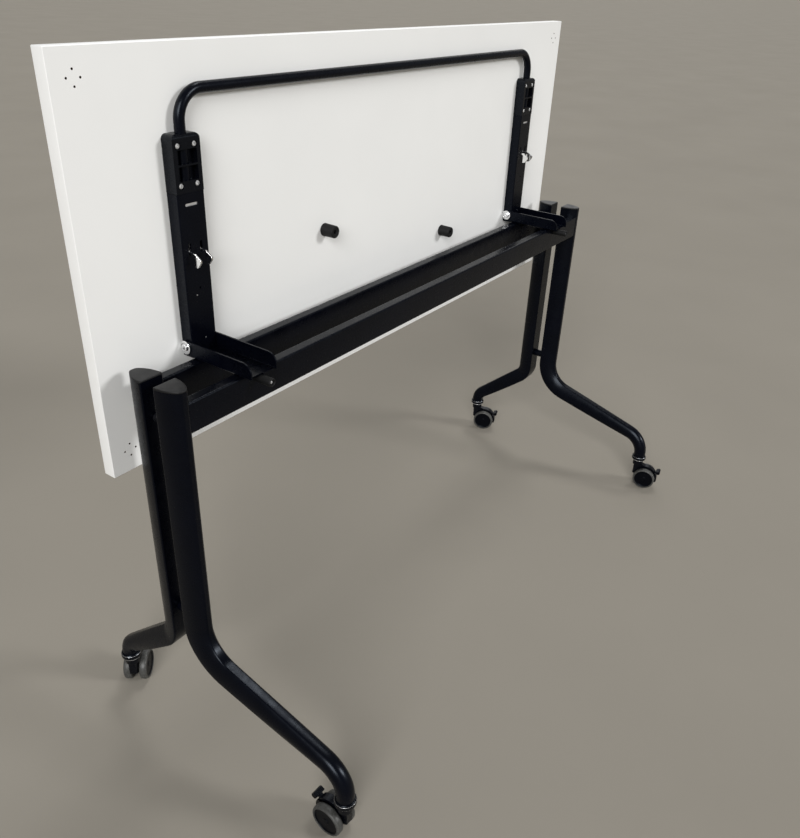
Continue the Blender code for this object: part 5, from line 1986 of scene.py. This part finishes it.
@dataclass(frozen=True)
class Studio:
    """Plain pale floor, soft light and a camera at the photograph's angle."""

    floor_colour: tuple[float, float, float] = (0.259, 0.239, 0.204)
    floor_size: float = 400.0
    sky: float = 0.22
    ground: float = 0.28
    horizon: float = -0.05
    zenith: float = 0.7
    lamps: tuple[Lamp, ...] = (
        Lamp("key", 1.4, (0.36, -0.84, 0.40), 14.0),
        Lamp("fill", 2.9, (-0.8, -0.4, 0.45), 32.0),
        Lamp("top", 0.62, (0.45, 0.05, 0.89), 15.0),
        Lamp("back", 0.65, (0.74, 0.49, 0.47), 56.0),
    )
    camera_place: tuple[float, float, float] = (-1.2894, -0.7560, 1.2483)
    yaw: float = -0.9871
    pitch: float = -0.5171
    roll: float = 0.0476
    focal_share: float = 792.8 / 838  # focal length over the picture's longer side, both in pixels
    shift: tuple[float, float] = (-0.0089, 0.0017)

    def floor(self) -> None:
        """Lay the floor."""
        half = self.floor_size / 2
        mesh = bpy.data.meshes.new("floor")
        corners = [(-half, -half, 0), (half, -half, 0), (half, half, 0), (-half, half, 0)]
        mesh.from_pydata(corners, [], [(0, 1, 2, 3)])
        finish = Finish("pale_floor", "", self.floor_colour, 0.85, specular=0.05, mottle=0.03,
                        mottle_scale=1.4, gloss_spread=0.05, gloss_scale=3.0, grain_scale=220.0,
                        grain_height=0.00001)
        mesh.materials.append(finish.material())
        floor = link_object("floor", mesh)

    def light(self) -> None:
        """Set the sky and the soft lamps."""
        world = bpy.data.worlds.new("studio")
        world.use_nodes = True
        tree = world.node_tree
        spot = tree.nodes.new("ShaderNodeTexCoord")
        split = tree.nodes.new("ShaderNodeSeparateXYZ")
        rise = tree.nodes.new("ShaderNodeMapRange")
        rise.inputs["From Min"].default_value = self.horizon
        rise.inputs["From Max"].default_value = self.zenith
        rise.inputs["To Min"].default_value = self.ground
        rise.inputs["To Max"].default_value = self.sky
        tree.links.new(spot.outputs["Generated"], split.inputs["Vector"])
        tree.links.new(split.outputs["Z"], rise.inputs["Value"])
        tree.links.new(rise.outputs["Result"], tree.nodes["Background"].inputs["Strength"])
        tree.nodes["Background"].inputs["Color"].default_value = (1.0, 1.0, 1.0, 1.0)
        bpy.context.scene.world = world
        for lamp in self.lamps:
            lamp.build()

    def camera(self) -> None:
        """Stand the camera where the photograph was taken."""
        flat = math.cos(self.pitch)
        forward = Vector((-math.sin(self.yaw) * flat, math.cos(self.yaw) * flat, math.sin(self.pitch)))
        level = Vector((math.cos(self.yaw), math.sin(self.yaw), 0.0))
        upright = level.cross(forward)
        right = level * math.cos(self.roll) + upright * math.sin(self.roll)
        up = upright * math.cos(self.roll) - level * math.sin(self.roll)
        lens = bpy.data.cameras.new("camera")
        lens.sensor_width = 36.0
        lens.lens = self.focal_share * lens.sensor_width
        lens.shift_x, lens.shift_y = self.shift
        camera = link_object("camera", lens)
        turn = Matrix((right, up, -forward)).transposed().to_4x4()
        camera.matrix_world = Matrix.Translation(self.camera_place) @ turn
        bpy.context.scene.camera = camera

    def build(self) -> None:
        """Set up the floor, the light, the camera and the view."""
        self.floor()
        self.light()
        self.camera()
        bpy.context.scene.view_settings.view_transform = "Standard"


def main() -> None:
    """Build the table, its screws and the studio."""
    logging.basicConfig(level=logging.INFO, format="%(message)s")
    TableTop().build()
    arm, block = FlipArm(), GripBlock()
    top_bumpers = [Bumper(f"{side.label}_top_bumper", Body.TOP, hole=0.0075, draft=0.0006) for side in Side]
    nest_bumpers = [Bumper(f"{side.label}_nesting_bumper", Body.FRAME, hole=0.0080, draft=0.0003,
                           hole_depth=0.0042) for side in Side]
    front_leg = Leg(Row.FRONT, reach=0.3407, knee=(0.2300, 0.080), toe=(0.1425, 0.058), taper=1.6)
    rear_leg = Leg(Row.REAR, reach=0.1844, knee=(0.237, 0.041), toe=(0.1115, 0.038), taper=1.9)
    for side in Side:
        for assembly in (arm, block, SupportBracket(), Pivot(), front_leg, rear_leg):
            assembly.build(side)
    ReleaseGear().build()
    CrossFrame().build()
    for bumper in top_bumpers + nest_bumpers:
        bumper.build()
    screws = ScrewTool()
    block_points = [point for side in Side for point in block.screw_points(side)]
    screws.set("grip_block_screws", block_points, block.head_diameter, Body.TOP.value, seed=7)
    arm_points = [point for side in Side for point in arm.screw_points(side)]
    screws.set("flip_arm_screws", arm_points, arm.screw_head, Body.TOP.value, seed=11)
    top_points = [bumper.screw_point() for bumper in top_bumpers]
    screws.set("top_bumper_screws", top_points, 0.0070, Body.TOP.value, seed=3)
    nest_points = [bumper.screw_point() for bumper in nest_bumpers]
    screws.set("nesting_bumper_screws", nest_points, 0.0058, Body.FRAME.value, seed=5)
    ribs = RibTool()
    for side in Side:
        for row in Row:
            Caster(f"{side.label}_{row.label}").build(ribs)
    Studio().build()


if __name__ == "__main__":
    main()
